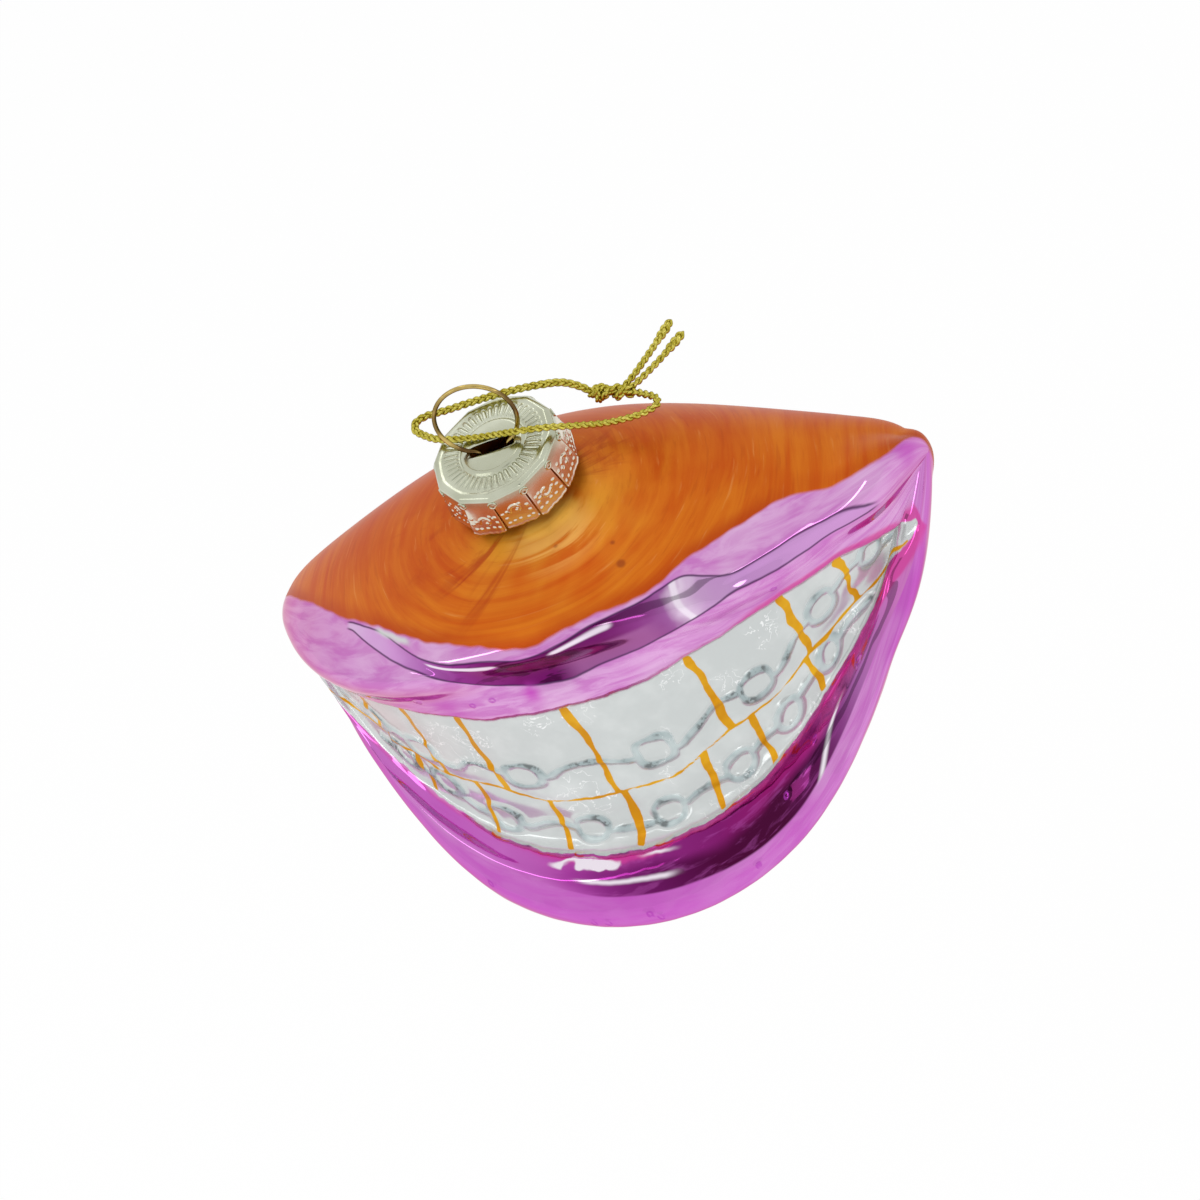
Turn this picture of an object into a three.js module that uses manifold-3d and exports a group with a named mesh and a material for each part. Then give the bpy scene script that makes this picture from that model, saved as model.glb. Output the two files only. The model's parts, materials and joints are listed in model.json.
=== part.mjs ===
// Glass lips ornament: a blown glass smile with a metal cap, a sprung wire hanger and a gold cord.
// Millimetres. +Z runs up the neck, -Y is the side that smiles and X runs from corner to corner.
// The model is drawn with the foot of the neck at zero, and the whole group is then moved so that
// the inside top of the hanger's eye is the origin.
import * as THREE from 'three';
import { mergeVertices } from 'three/addons/utils/BufferGeometryUtils.js';
import Module from 'manifold-3d';

const wasm = await Module();
wasm.setup();

// Glass body. The section at the middle of the smile is a closed curve through these points.
// Each row is y, z and the taper: how fast the section shrinks there towards the two corners.
const SECTION = [
  [22.5, -30.0, 1.30], // middle of the back
  [22.0, -13.5, 1.38], // shoulder of the back
  [9.3, -1.8, 1.42], // dome behind the neck
  [-9.7, -0.1, 1.35], // dome in front of the neck
  [-27.3, -3.3, 1.36], // brow above the upper lip
  [-27.0, -12.0, 1.68], // groove of the upper lip
  [-27.9, -19.4, 1.85], // gum line of the upper teeth
  [-28.8, -27.6, 1.95], // upper teeth
  [-30.4, -35.5, 2.10], // between the two rows of teeth
  [-32.3, -42.7, 1.90], // gum line of the lower teeth
  [-38.8, -45.0, 1.72], // shelf of the lower lip
  [-41.8, -51.4, 1.56], // front of the lower lip
  [-38.8, -55.2, 1.38], // underside of the lower lip
  [-24.2, -58.7, 1.30], // chin
  [-4.0, -58.2, 1.10], // bottom
  [11.5, -51.5, 1.15], // bottom of the back
];
const HALF_WIDTH = 51.2; // middle of the smile to a corner
const MIDDLE = { y: -11.5, z: -33.0 }; // the point that the section shrinks towards
const ARCH_SWEEP = { square: 5.3, fourth: 14.6 }; // how far the corners are swept back
const SMILE_LIFT = { square: 2.6, fourth: 6.3 }; // how far the corners are lifted
const GLASS_WALL = 1.2;
const SOLID_CORNER = 5.0; // a corner's tip is drawn to solid glass over this length
const BODY_STEPS = { round: 64, across: 34 };
const CAVITY_STEPS = { round: 40, across: 18 };

// Glass neck, blown in one piece with the body.
const NECK_RADIUS = 8.2;
const NECK_WALL = 1.1;
const NECK_HEIGHT = 6.95;
const NECK_ROOT = 6.0; // how far the neck's wall reaches down through the dome
const NECK_SIDES = 40;

// Pressed metal cap, fitted over the neck.
const CAP_GAP = 0.3; // between the cap and the neck's rim
const CAP_CLEARANCE = 0.75; // between the cap and the neck's side, at the shoulder
const CAP_SHEET = 0.4;
const CAP_FLARE = 0.65; // the skirt is wider at its foot than at the shoulder by this much
const CAP_SKIRT_FOOT = 1.0; // height of the skirt's lower edge above the foot of the neck
const CAP_STEP_RADIUS = 4.7;
const CAP_STEP_HEIGHT = 0.35;
const CAP_BEVEL = { wide: 0.35, tall: 0.2 }; // the shoulder's rolled edge
const CAP_TABS = 12;
const TAB_SLIT = { width: 0.4, height: 4.9, holeRadius: 0.45 };

// Hanger: one wire, with a round eye above the slot and two sprung legs below it.
const WIRE_RADIUS = 0.33;
const EYE_RADIUS = 5.85; // to the middle of the wire
const EYE_OPENING = 2.58; // middle of the slot to the wire, where the eye meets the cap's top
const EYE_LEAN = 10; // degrees back from upright
const LEG_PINCH = 0.48; // a leg starts nearer to the middle than the eye's opening by this much
const LEG_DEPTH = 8.6; // from the cap's top to a leg's lowest point
const LEG_CLEARANCE = 1.57; // between a leg's foot and the neck's bore
const LEG_HOOK = { width: 1.2, height: 2.2 }; // the foot is turned back up inside
const SLOT_CLEARANCE = { ends: 0.64, sides: 0.82 }; // between the wire and the cap's slot
const SLOT_TURN = 5; // degrees from X, counter-clockwise from above
const EYE_STEPS = 20;
const WIRE_SIDES = 6;
const WIRE_STEPS = 90;

// Gold cord: one length, tied into a loop through the eye. Points in the order of the cord, x y z.
const CORD_RADIUS = 0.5;
const CORD_LOOP = [
  [18.7, 8.6, 2.4], [20.6, 7.6, 2.4], [22.4, 6.3, 2.5], [22.8, 4.9, 2.7], [21.6, 3.6, 3.1],
  [19.2, 2.6, 3.8], [16.1, 1.2, 5.5], [12.9, -0.3, 8.1], [9.3, -0.5, 9.4], [5.7, -0.6, 10.2],
  [3.2, 0.1, 9.8], [-0.4, 1.2, 9.05], [-3.9, 1.9, 8.95], [-6.3, 2.5, 8.95], [-8.5, 3.2, 8.95],
  [-10.7, 4.6, 8.95], [-12.3, 6.1, 8.95], [-12.3, 7.5, 8.95], [-10.9, 8.2, 8.95], [-7.6, 8.3, 8.95],
  [-2.9, 8.6, 8.95], [2.0, 8.7, 8.95], [6.8, 9.0, 8.3], [9.5, 10.1, 6.4], [11.3, 10.6, 4.0],
];
const CORD_KNOT = { from: [12.2, 10.4, 2.5], to: [18.3, 8.8, 2.4], radius: 1.35 };
const CORD_TAIL_LEFT = [[17.9, 10.5, 2.6], [21.1, 14.8, 2.8], [24.3, 19.8, 3.0]];
const CORD_TAIL_RIGHT = [[19.0, 9.75, 2.6], [23.0, 13.2, 2.8], [26.4, 16.9, 3.0]];
const CORD_SIDES = 8;
const CORD_STEPS = { loop: 62, tail: 6 };

const CUT_OVERRUN = 1.0; // a cutting tool reaches past what it cuts by this much

const radians = THREE.MathUtils.degToRad;
const BORE_RADIUS = NECK_RADIUS - NECK_WALL;
const CAP_TOP = NECK_HEIGHT + CAP_GAP + CAP_SHEET + CAP_STEP_HEIGHT;
const CAP_RADIUS = NECK_RADIUS + CAP_CLEARANCE + CAP_SHEET;
const EYE_RISE = Math.sqrt(EYE_RADIUS ** 2 - EYE_OPENING ** 2);
const LEG_SPREAD = BORE_RADIUS - LEG_CLEARANCE - WIRE_RADIUS;
const LEG_WAIST = EYE_OPENING - LEG_PINCH;

// A value between numbers that stand evenly round a closed ring.
function ringValue(values, place) {
  const count = values.length;
  const index = Math.floor(place);
  const t = place - index;
  const [a, b, c, d] = [-1, 0, 1, 2].map((k) => values[(index + k + count) % count]);
  return b + 0.5 * t * (c - a + t * (2 * a - 5 * b + 4 * c - d + t * (3 * (b - c) + d - a)));
}

const sectionY = SECTION.map((row) => row[0]);
const sectionZ = SECTION.map((row) => row[1]);
const sectionTaper = SECTION.map((row) => row[2]);

// A point of the glass's outer surface. place runs round the section, 0 to 16, and turn runs from
// one corner to the other, -90 to 90 degrees.
function bodyPoint(place, turn) {
  const reach = Math.sin(turn);
  const shrink = Math.max(Math.cos(turn), 1e-9) ** ringValue(sectionTaper, place);
  const square = reach ** 2;
  const y = MIDDLE.y + ARCH_SWEEP.square * square + ARCH_SWEEP.fourth * square ** 2;
  const z = MIDDLE.z + SMILE_LIFT.square * square + SMILE_LIFT.fourth * square ** 2;
  return new THREE.Vector3(
    HALF_WIDTH * reach,
    y + (ringValue(sectionY, place) - MIDDLE.y) * shrink,
    z + (ringValue(sectionZ, place) - MIDDLE.z) * shrink,
  );
}

// The outward direction there, from two short steps along the surface.
function bodyNormal(place, turn) {
  const step = 0.02;
  const count = SECTION.length;
  const round = bodyPoint((place + step) % count, turn).sub(bodyPoint((place - step + count) % count, turn));
  const across = bodyPoint(place, turn + step).sub(bodyPoint(place, turn - step));
  return round.cross(across).normalize();
}

// A closed skin over a grid: rings of points, each ring from one end to the other, and a point at
// either end.
function closedSkin(rings, startPoint, endPoint) {
  const round = rings.length;
  const along = rings[0].length;
  const points = rings.flat();
  points.push(startPoint, endPoint);
  const start = points.length - 2;
  const end = points.length - 1;
  const faces = [];
  for (let i = 0; i < round; i += 1) {
    const a = i * along;
    const b = ((i + 1) % round) * along;
    faces.push([start, b, a]);
    faces.push([end, a + along - 1, b + along - 1]);
    for (let j = 0; j < along - 1; j += 1) {
      faces.push([a + j, b + j, b + j + 1]);
      faces.push([a + j, b + j + 1, a + j + 1]);
    }
  }
  const geometry = new THREE.BufferGeometry();
  const positions = points.flatMap((point) => [point.x, point.y, point.z]);
  geometry.setAttribute('position', new THREE.Float32BufferAttribute(positions, 3));
  geometry.setIndex(faces.flat());
  return geometry;
}

// The skin of the body, moved in by inset, between two limits of turn.
function bodySkin(steps, limit, inset) {
  const rings = [];
  for (let i = 0; i < steps.round; i += 1) {
    const place = (i * SECTION.length) / steps.round;
    const ring = [];
    for (let j = 1; j < steps.across; j += 1) {
      const turn = limit * ((2 * j) / steps.across - 1);
      ring.push(bodyPoint(place, turn).addScaledVector(bodyNormal(place, turn), -inset));
    }
    rings.push(ring);
  }
  const ends = [0, rings[0].length - 1].map((k) => {
    const middle = new THREE.Vector3();
    rings.forEach((ring) => middle.addScaledVector(ring[k], 1 / rings.length));
    return middle;
  });
  if (inset === 0) ends.forEach((end) => end.copy(bodyPoint(0, Math.sign(end.x) * Math.PI / 2)));
  return closedSkin(rings, ends[0], ends[1]);
}

// A closed three.js geometry as a solid that can be joined and cut.
function solid(geometry) {
  const bare = geometry.clone();
  bare.deleteAttribute('normal');
  bare.deleteAttribute('uv');
  const merged = mergeVertices(bare, 1e-4);
  const vertProperties = new Float32Array(merged.attributes.position.array);
  const triVerts = new Uint32Array(merged.index.array);
  return new wasm.Manifold(new wasm.Mesh({ numProp: 3, vertProperties, triVerts }));
}

function geometryOf(shape) {
  const mesh = shape.getMesh();
  const geometry = new THREE.BufferGeometry();
  geometry.setAttribute('position', new THREE.Float32BufferAttribute(mesh.vertProperties, 3));
  geometry.setIndex(new THREE.Uint32BufferAttribute(mesh.triVerts, 1));
  geometry.computeVertexNormals();
  return geometry;
}

// A solid of revolution about Z from a profile of radius and height.
function turned(profile, segments) {
  const points = profile.map(([radius, height]) => new THREE.Vector2(radius, height));
  const geometry = new THREE.LatheGeometry(points, segments);
  return geometry.rotateX(Math.PI / 2);
}

// A straight post round Z, between two heights.
function post(radius, foot, top) {
  return turned([[0, foot], [radius, foot], [radius, top], [0, top]], NECK_SIDES);
}

function glassBody() {
  const outside = solid(bodySkin(BODY_STEPS, Math.PI / 2, 0));
  const cavityLimit = Math.asin(1 - SOLID_CORNER / HALF_WIDTH);
  const cavity = solid(bodySkin(CAVITY_STEPS, cavityLimit, GLASS_WALL));
  const neck = solid(post(NECK_RADIUS, -NECK_ROOT, NECK_HEIGHT));
  const bore = solid(post(BORE_RADIUS, -NECK_ROOT - CUT_OVERRUN, NECK_HEIGHT + CUT_OVERRUN));
  return geometryOf(outside.add(neck).subtract(cavity).subtract(bore));
}

// The skirt is pressed into flats between its slits, more so towards its foot, so its radius drops
// in the middle of a tab.
function pressFlats(geometry) {
  const position = geometry.attributes.position;
  const halfTab = Math.PI / CAP_TABS;
  for (let i = 0; i < position.count; i += 1) {
    const x = position.getX(i);
    const y = position.getY(i);
    const share = THREE.MathUtils.clamp((CAP_TOP - position.getZ(i)) / (CAP_TOP - CAP_SKIRT_FOOT), 0, 1);
    const angle = Math.atan2(y, x) + 2 * Math.PI;
    const fromMiddle = (angle % (2 * halfTab)) - halfTab;
    const flat = Math.cos(halfTab) / Math.cos(fromMiddle);
    const scale = 1 + (flat - 1) * share;
    position.setXY(i, x * scale, y * scale);
  }
  return geometry;
}

// Half of the cap's section from the middle of its top, over the shoulder and back up inside.
function capProfile() {
  const shoulder = CAP_TOP - CAP_STEP_HEIGHT;
  const roof = shoulder - CAP_SHEET;
  const skirt = CAP_RADIUS + CAP_FLARE;
  return [
    [0, CAP_TOP],
    [CAP_STEP_RADIUS, CAP_TOP],
    [CAP_STEP_RADIUS + CAP_STEP_HEIGHT, shoulder],
    [CAP_RADIUS - CAP_BEVEL.wide - CAP_SHEET, shoulder],
    [CAP_RADIUS - CAP_BEVEL.wide, shoulder + CAP_BEVEL.tall],
    [CAP_RADIUS, shoulder - CAP_BEVEL.tall],
    [skirt, CAP_SKIRT_FOOT],
    [skirt - CAP_SHEET, CAP_SKIRT_FOOT],
    [CAP_RADIUS - CAP_SHEET, roof],
    [CAP_STEP_RADIUS, roof],
    [CAP_STEP_RADIUS - CAP_STEP_HEIGHT, CAP_TOP - CAP_SHEET],
    [0, CAP_TOP - CAP_SHEET],
  ];
}

// A slit between two tabs, open at the skirt's foot and ending in a round hole. Drawn on +X.
function tabSlit() {
  const reach = CAP_RADIUS + CAP_FLARE;
  const foot = CAP_SKIRT_FOOT - CUT_OVERRUN;
  const top = CAP_SKIRT_FOOT + TAB_SLIT.height;
  const thickness = 2 * CUT_OVERRUN;
  const slit = new THREE.BoxGeometry(thickness, TAB_SLIT.width, top - foot).translate(reach, 0, (top + foot) / 2);
  const hole = new THREE.CylinderGeometry(TAB_SLIT.holeRadius, TAB_SLIT.holeRadius, thickness, 8);
  hole.rotateZ(Math.PI / 2).translate(reach, 0, top);
  return [slit, hole];
}

function capCrown() {
  let shape = solid(pressFlats(turned(capProfile().reverse(), 4 * CAP_TABS)));
  const slotLength = 2 * (EYE_OPENING + WIRE_RADIUS + SLOT_CLEARANCE.ends);
  const slotWidth = 2 * (WIRE_RADIUS + SLOT_CLEARANCE.sides);
  const slot = new THREE.BoxGeometry(slotLength, slotWidth, 4 * CUT_OVERRUN).translate(0, 0, CAP_TOP);
  shape = shape.subtract(solid(slot.rotateZ(radians(SLOT_TURN))));
  for (let i = 0; i < CAP_TABS; i += 1) {
    for (const cut of tabSlit()) {
      shape = shape.subtract(solid(cut.rotateZ((i * 2 * Math.PI) / CAP_TABS)));
    }
  }
  return geometryOf(shape);
}

// A round bar along a curve, closed at both ends.
function bar(curve, radius, sides, steps) {
  const ring = [];
  for (let i = 0; i < sides; i += 1) {
    const angle = (i * 2 * Math.PI) / sides;
    ring.push(new THREE.Vector2(radius * Math.cos(angle), radius * Math.sin(angle)));
  }
  return new THREE.ExtrudeGeometry(new THREE.Shape(ring), { extrudePath: curve, steps });
}

function smooth(points) {
  return new THREE.CatmullRomCurve3(points.map((point) => new THREE.Vector3(...point)), false, 'centripetal');
}

// The hanger in its own plane: x across, z up from the cap's top.
function hangerWire() {
  const inner = LEG_SPREAD - LEG_HOOK.width;
  const leg = (side) => [
    [side * inner, 0, LEG_HOOK.height - LEG_DEPTH],
    [side * (inner + 0.1), 0, 0.5 - LEG_DEPTH],
    [side * (inner + LEG_HOOK.width / 2), 0, -LEG_DEPTH],
    [side * LEG_SPREAD, 0, 0.6 - LEG_DEPTH],
    [side * (LEG_WAIST + 0.7 * (LEG_SPREAD - LEG_WAIST)), 0, -0.7 * LEG_DEPTH],
    [side * (LEG_WAIST + 0.3 * (LEG_SPREAD - LEG_WAIST)), 0, -0.35 * LEG_DEPTH],
    [side * LEG_WAIST, 0, -1.4],
    [side * (LEG_WAIST + 0.1), 0, -0.5],
  ];
  const foot = Math.acos(EYE_RISE / EYE_RADIUS);
  const arc = [];
  for (let i = 0; i <= EYE_STEPS; i += 1) {
    const angle = foot + ((2 * Math.PI - 2 * foot) * i) / EYE_STEPS;
    arc.push([-EYE_RADIUS * Math.sin(angle), 0, EYE_RISE - EYE_RADIUS * Math.cos(angle)]);
  }
  return bar(smooth([...leg(-1), ...arc, ...leg(1).reverse()]), WIRE_RADIUS, WIRE_SIDES, WIRE_STEPS);
}

function cordStretch(points, steps) {
  return bar(smooth(points), CORD_RADIUS, CORD_SIDES, steps);
}

function cordKnot() {
  const from = new THREE.Vector3(...CORD_KNOT.from);
  const to = new THREE.Vector3(...CORD_KNOT.to);
  const length = from.distanceTo(to);
  const profile = [[0, 0]];
  const rings = 8;
  for (let i = 1; i < rings; i += 1) {
    const angle = (Math.PI * i) / rings;
    profile.push([CORD_KNOT.radius * Math.sin(angle) ** 0.6, (length * (1 - Math.cos(angle))) / 2]);
  }
  profile.push([0, length]);
  const geometry = turned(profile, 14);
  const along = to.clone().sub(from).normalize();
  const turn = new THREE.Quaternion().setFromUnitVectors(new THREE.Vector3(0, 0, 1), along);
  return geometry.applyQuaternion(turn).translate(from.x, from.y, from.z);
}

const finishes = {
  glass: { color: 0xc03aa8, roughness: 0.12, metalness: 0.85 },
  cap: { color: 0xcfcbb8, roughness: 0.25, metalness: 1.0 },
  wire: { color: 0x9a7a45, roughness: 0.3, metalness: 1.0 },
  cord: { color: 0xc9b23a, roughness: 0.4, metalness: 0.8 },
};

function piece(name, geometry, finish) {
  const mesh = new THREE.Mesh(geometry, new THREE.MeshStandardMaterial(finishes[finish]));
  mesh.name = name;
  return mesh;
}

const ornament = new THREE.Group();
ornament.add(piece('glass_body', glassBody(), 'glass'));
ornament.add(piece('cap_crown', capCrown(), 'cap'));

const hanger = new THREE.Group();
hanger.position.set(0, 0, CAP_TOP);
hanger.rotation.set(-radians(EYE_LEAN), 0, radians(SLOT_TURN), 'ZXY');
hanger.add(piece('hanger_wire', hangerWire(), 'wire'));
ornament.add(hanger);

ornament.add(piece('cord_loop', cordStretch(CORD_LOOP, CORD_STEPS.loop), 'cord'));
ornament.add(piece('cord_knot', cordKnot(), 'cord'));
ornament.add(piece('cord_tail_left', cordStretch(CORD_TAIL_LEFT, CORD_STEPS.tail), 'cord'));
ornament.add(piece('cord_tail_right', cordStretch(CORD_TAIL_RIGHT, CORD_STEPS.tail), 'cord'));

// The inside top of the eye, as the hanger leans in the slot, goes to the origin.
const eyeReach = EYE_RISE + EYE_RADIUS - WIRE_RADIUS;
const eyeTop = new THREE.Vector3(0, 0, eyeReach).applyEuler(hanger.rotation).add(hanger.position);
ornament.position.copy(eyeTop).negate();

const group = new THREE.Group();
group.add(ornament);

export default group;
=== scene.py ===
# %% [markdown]
# A glass lips ornament, drawn for Blender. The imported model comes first: it fixes where every part
# is, in metres, with the origin at the inside top of the wire eye that the ornament hangs by.
# Everything below is placed from it, so that the looks and the solids stay one object.

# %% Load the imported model
import json
import math
import bpy
import numpy as np
from mathutils import Matrix, Vector


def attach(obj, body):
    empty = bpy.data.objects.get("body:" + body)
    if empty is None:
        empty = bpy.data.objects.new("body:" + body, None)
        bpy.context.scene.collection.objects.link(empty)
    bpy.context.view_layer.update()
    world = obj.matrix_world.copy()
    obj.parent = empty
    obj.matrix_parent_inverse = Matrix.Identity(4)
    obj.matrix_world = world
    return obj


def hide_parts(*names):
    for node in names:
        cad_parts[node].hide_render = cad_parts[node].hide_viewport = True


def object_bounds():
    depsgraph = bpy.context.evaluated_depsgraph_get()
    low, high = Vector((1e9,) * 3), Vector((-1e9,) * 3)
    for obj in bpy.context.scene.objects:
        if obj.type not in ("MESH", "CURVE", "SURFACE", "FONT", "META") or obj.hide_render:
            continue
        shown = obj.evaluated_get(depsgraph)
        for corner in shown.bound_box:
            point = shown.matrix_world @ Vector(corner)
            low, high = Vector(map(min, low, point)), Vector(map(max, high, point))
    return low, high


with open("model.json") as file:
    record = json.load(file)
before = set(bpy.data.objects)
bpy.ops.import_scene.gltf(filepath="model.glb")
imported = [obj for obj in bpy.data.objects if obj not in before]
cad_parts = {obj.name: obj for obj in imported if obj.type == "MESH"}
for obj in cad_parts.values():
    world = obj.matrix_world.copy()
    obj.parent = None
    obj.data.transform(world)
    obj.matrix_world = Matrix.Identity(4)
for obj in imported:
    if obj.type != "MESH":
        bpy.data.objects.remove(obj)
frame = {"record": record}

cad_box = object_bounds()

# %% [markdown]
# The ornament is easiest to draw from the foot of its neck, in millimetres: +Z up the neck and -Y
# towards the smile. The cap's joint sits on the neck's axis at the cap's top, eight millimetres
# above that foot, so one shift carries every point from that drawing frame into the model's.

# %% The drawing frame
MM = 0.001
CAP_TOP = 8.0
CAP_JOINT = next(joint for joint in frame["record"]["behaviour"]["joints"] if joint["name"] == "cap_turn")
NECK_FOOT = np.array(CAP_JOINT["pos_m"]) - [0, 0, CAP_TOP * MM]


def placed(points):
    """Points in millimetres from the neck's foot, as metres in the model's frame."""
    return np.asarray(points, float) * MM + NECK_FOOT


print("neck foot at", NECK_FOOT.round(5))

# %% [markdown]
# Something this small is photographed with a tele lens, here from about 60 cm. The camera looks down
# on the smile from the +X side and is rolled, so that the neck leans to the left in the picture. Its
# place was fitted to the photograph, so that a render and the photograph can be laid over each other.

# %% Camera
CAMERA_AZIMUTH, CAMERA_ELEVATION, CAMERA_ROLL = map(math.radians, (31.2, 42.25, 36.85))
CAMERA_DISTANCE = 597 * MM
CAMERA_LENS = 126.3
CAMERA_SENSOR = 36
AIM = {"right": 11.67 * MM, "up": -16.99 * MM}


def add_camera():
    """The camera at the photograph's place, aimed at the middle of its frame."""
    sin_a, cos_a = math.sin(CAMERA_AZIMUTH), math.cos(CAMERA_AZIMUTH)
    sin_e, cos_e = math.sin(CAMERA_ELEVATION), math.cos(CAMERA_ELEVATION)
    back = Vector((sin_a * cos_e, -cos_a * cos_e, sin_e))
    level = Vector((cos_a, sin_a, 0))
    upright = back.cross(level)
    right = level * math.cos(CAMERA_ROLL) - upright * math.sin(CAMERA_ROLL)
    up = level * math.sin(CAMERA_ROLL) + upright * math.cos(CAMERA_ROLL)
    eye = Vector(NECK_FOOT) + back * CAMERA_DISTANCE
    target = Vector(NECK_FOOT) + right * AIM["right"] + up * AIM["up"]
    away = (eye - target).normalized()
    side = up.cross(away).normalized()
    top = away.cross(side)
    camera = bpy.data.objects.new("camera", bpy.data.cameras.new("camera"))
    camera.data.lens = CAMERA_LENS
    camera.data.sensor_width = CAMERA_SENSOR
    camera.data.clip_start = 10 * MM
    camera.matrix_world = Matrix((side, top, away)).transposed().to_4x4()
    camera.matrix_world.translation = eye
    bpy.context.collection.objects.link(camera)
    bpy.context.scene.camera = camera
    return camera


camera = add_camera()
print("camera at", [round(value, 4) for value in camera.location])

# %% [markdown]
# Wire and cord both follow a path that was traced as a short list of points. A curve object could
# carry them, but the plait needs the path's length and direction at every point, so the points are
# joined by a smooth spline here and laid out again at even steps.

# %% A smooth path


def smooth_path(points, step):
    """A centripetal spline through the points, resampled to about one point each step."""
    knots = np.array(points, float)
    ends = np.vstack([2 * knots[0] - knots[1], knots, 2 * knots[-1] - knots[-2]])
    fine = []
    for a, b, c, d in zip(ends, ends[1:], ends[2:], ends[3:]):
        gaps = [max(np.linalg.norm(q - p), 1e-6) ** 0.5 for p, q in ((a, b), (b, c), (c, d))]
        m1 = (b - a) / gaps[0] - (c - a) / (gaps[0] + gaps[1]) + (c - b) / gaps[1]
        m2 = (c - b) / gaps[1] - (d - b) / (gaps[1] + gaps[2]) + (d - c) / gaps[2]
        m1, m2 = m1 * gaps[1], m2 * gaps[1]
        t = np.linspace(0, 1, 24, endpoint=False)[:, None]
        fine.append(b + m1 * t + (3 * (c - b) - 2 * m1 - m2) * t**2 + (2 * (b - c) + m1 + m2) * t**3)
    fine = np.vstack(fine + [knots[-1:]])
    length = np.concatenate([[0], np.cumsum(np.linalg.norm(np.diff(fine, axis=0), axis=1))])
    wanted = np.linspace(0, length[-1], max(int(round(length[-1] / step)), 4) + 1)
    return np.stack([np.interp(wanted, length, fine[:, k]) for k in range(3)], axis=1)


def path_length(path):
    return float(np.linalg.norm(np.diff(path, axis=0), axis=1).sum())


quarter_turn = smooth_path([(1, 0, 0), (0.7071, 0.7071, 0), (0, 1, 0)], 0.02)
true_turn = round(math.pi / 2, 3)
print("a quarter turn through three points:", round(path_length(quarter_turn), 3), "for", true_turn)

# %% [markdown]
# A wire is a round section carried along its path. A frame that turns as little as it can from
# point to point keeps the section from twisting. A curve's own bevel does that too, but a mesh lets
# the strands of the braid be drawn one by one.

# %% Tubes


def path_frames(path):
    """Directions along, across and up at each point, with no needless twist."""
    along = np.gradient(path, axis=0)
    along /= np.linalg.norm(along, axis=1, keepdims=True)
    across = np.zeros_like(path)
    start = np.cross(along[0], [0, 0, 1.0])
    across[0] = start / np.linalg.norm(start)
    for i in range(1, len(path)):
        flat = across[i - 1] - along[i] * (across[i - 1] @ along[i])
        across[i] = flat / np.linalg.norm(flat)
    return along, across, np.cross(along, across)


def tube_mesh(path, radius, sides):
    """Vertices and faces of a capped tube; the radius may vary along the path."""
    _, across, up = path_frames(path)
    radius = np.broadcast_to(radius, len(path))[:, None, None]
    angle = np.linspace(0, 2 * math.pi, sides, endpoint=False)[None, :, None]
    rings = path[:, None] + radius * (np.cos(angle) * across[:, None] + np.sin(angle) * up[:, None])
    faces = [tuple(range(sides))[::-1]]
    for i in range(len(path) - 1):
        for j in range(sides):
            k = (j + 1) % sides
            faces.append((i * sides + j, i * sides + k, (i + 1) * sides + k, (i + 1) * sides + j))
    last = (len(path) - 1) * sides
    faces.append(tuple(range(last, last + sides)))
    return rings.reshape(-1, 3), faces


def joined(parts):
    """Several sets of vertices and faces as one."""
    vertices, faces, count = [], [], 0
    for points, polygons in parts:
        vertices.append(points)
        faces.extend(tuple(index + count for index in polygon) for polygon in polygons)
        count += len(points)
    return np.vstack(vertices), faces


print("a short tube has", len(tube_mesh(quarter_turn, 0.1, 8)[1]), "faces")

# %% [markdown]
# Every mesh of the ornament rides on one moving body. One helper makes the mesh and puts it on its
# body, so that no piece can miss it.

# %% A piece on its body


def add_piece(name, body, slot, points, faces):
    """A mesh piece from millimetre points, riding on a body; slot is not used."""
    mesh = bpy.data.meshes.new(name)
    mesh.from_pydata(placed(points).tolist(), [], faces)
    mesh.validate()
    mesh.polygons.foreach_set("use_smooth", [True] * len(mesh.polygons))
    piece = bpy.data.objects.new(name, mesh)
    bpy.context.collection.objects.link(piece)
    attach(piece, body)
    print(name, len(mesh.vertices), "points")
    return piece


# %% [markdown]
# The gold cord is a flat plait of three metallic strands. A tube with a bump would give its pattern
# but not its notched outline, so the strands are meshes. Each one swings from side to side once
# while it goes over and under twice, a third of a turn behind its neighbour, and that alone gives
# the herringbone that shows on the real cord.

# %% The plait
PLAIT = {"strands": 3, "length": 3.3, "side": 0.33, "over": 0.23, "strand_radius": 0.265}
PLAIT_STEP = 0.15
STRAND_SIDES = 8


def plait(path, swell=None):
    """Three strands along a path. swell widens them, as a frayed end does."""
    _, across, up = path_frames(path)
    swell = np.ones(len(path)) if swell is None else swell
    distance = np.concatenate([[0], np.cumsum(np.linalg.norm(np.diff(path, axis=0), axis=1))])
    strands = []
    for k in range(PLAIT["strands"]):
        phase = 2 * math.pi * (distance / PLAIT["length"] + k / PLAIT["strands"])
        side = (PLAIT["side"] * swell * np.sin(phase))[:, None]
        over = (PLAIT["over"] * swell * np.sin(2 * phase))[:, None]
        path_here = path + side * across + over * up
        strands.append(tube_mesh(path_here, PLAIT["strand_radius"] * swell, STRAND_SIDES))
    return joined(strands)


print("the plait is", round(2 * (PLAIT["side"] + PLAIT["strand_radius"]), 2), "mm wide")

# %% [markdown]
# The cord goes through the wire eye, lies over the cap's rim and hangs down on one side, where one
# knot ties its two ends. A simulation could let it fall there, but this cord is stiff and lies as it
# was put down, so it follows the same points as the model's plain cord, and runs on into the knot.

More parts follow.
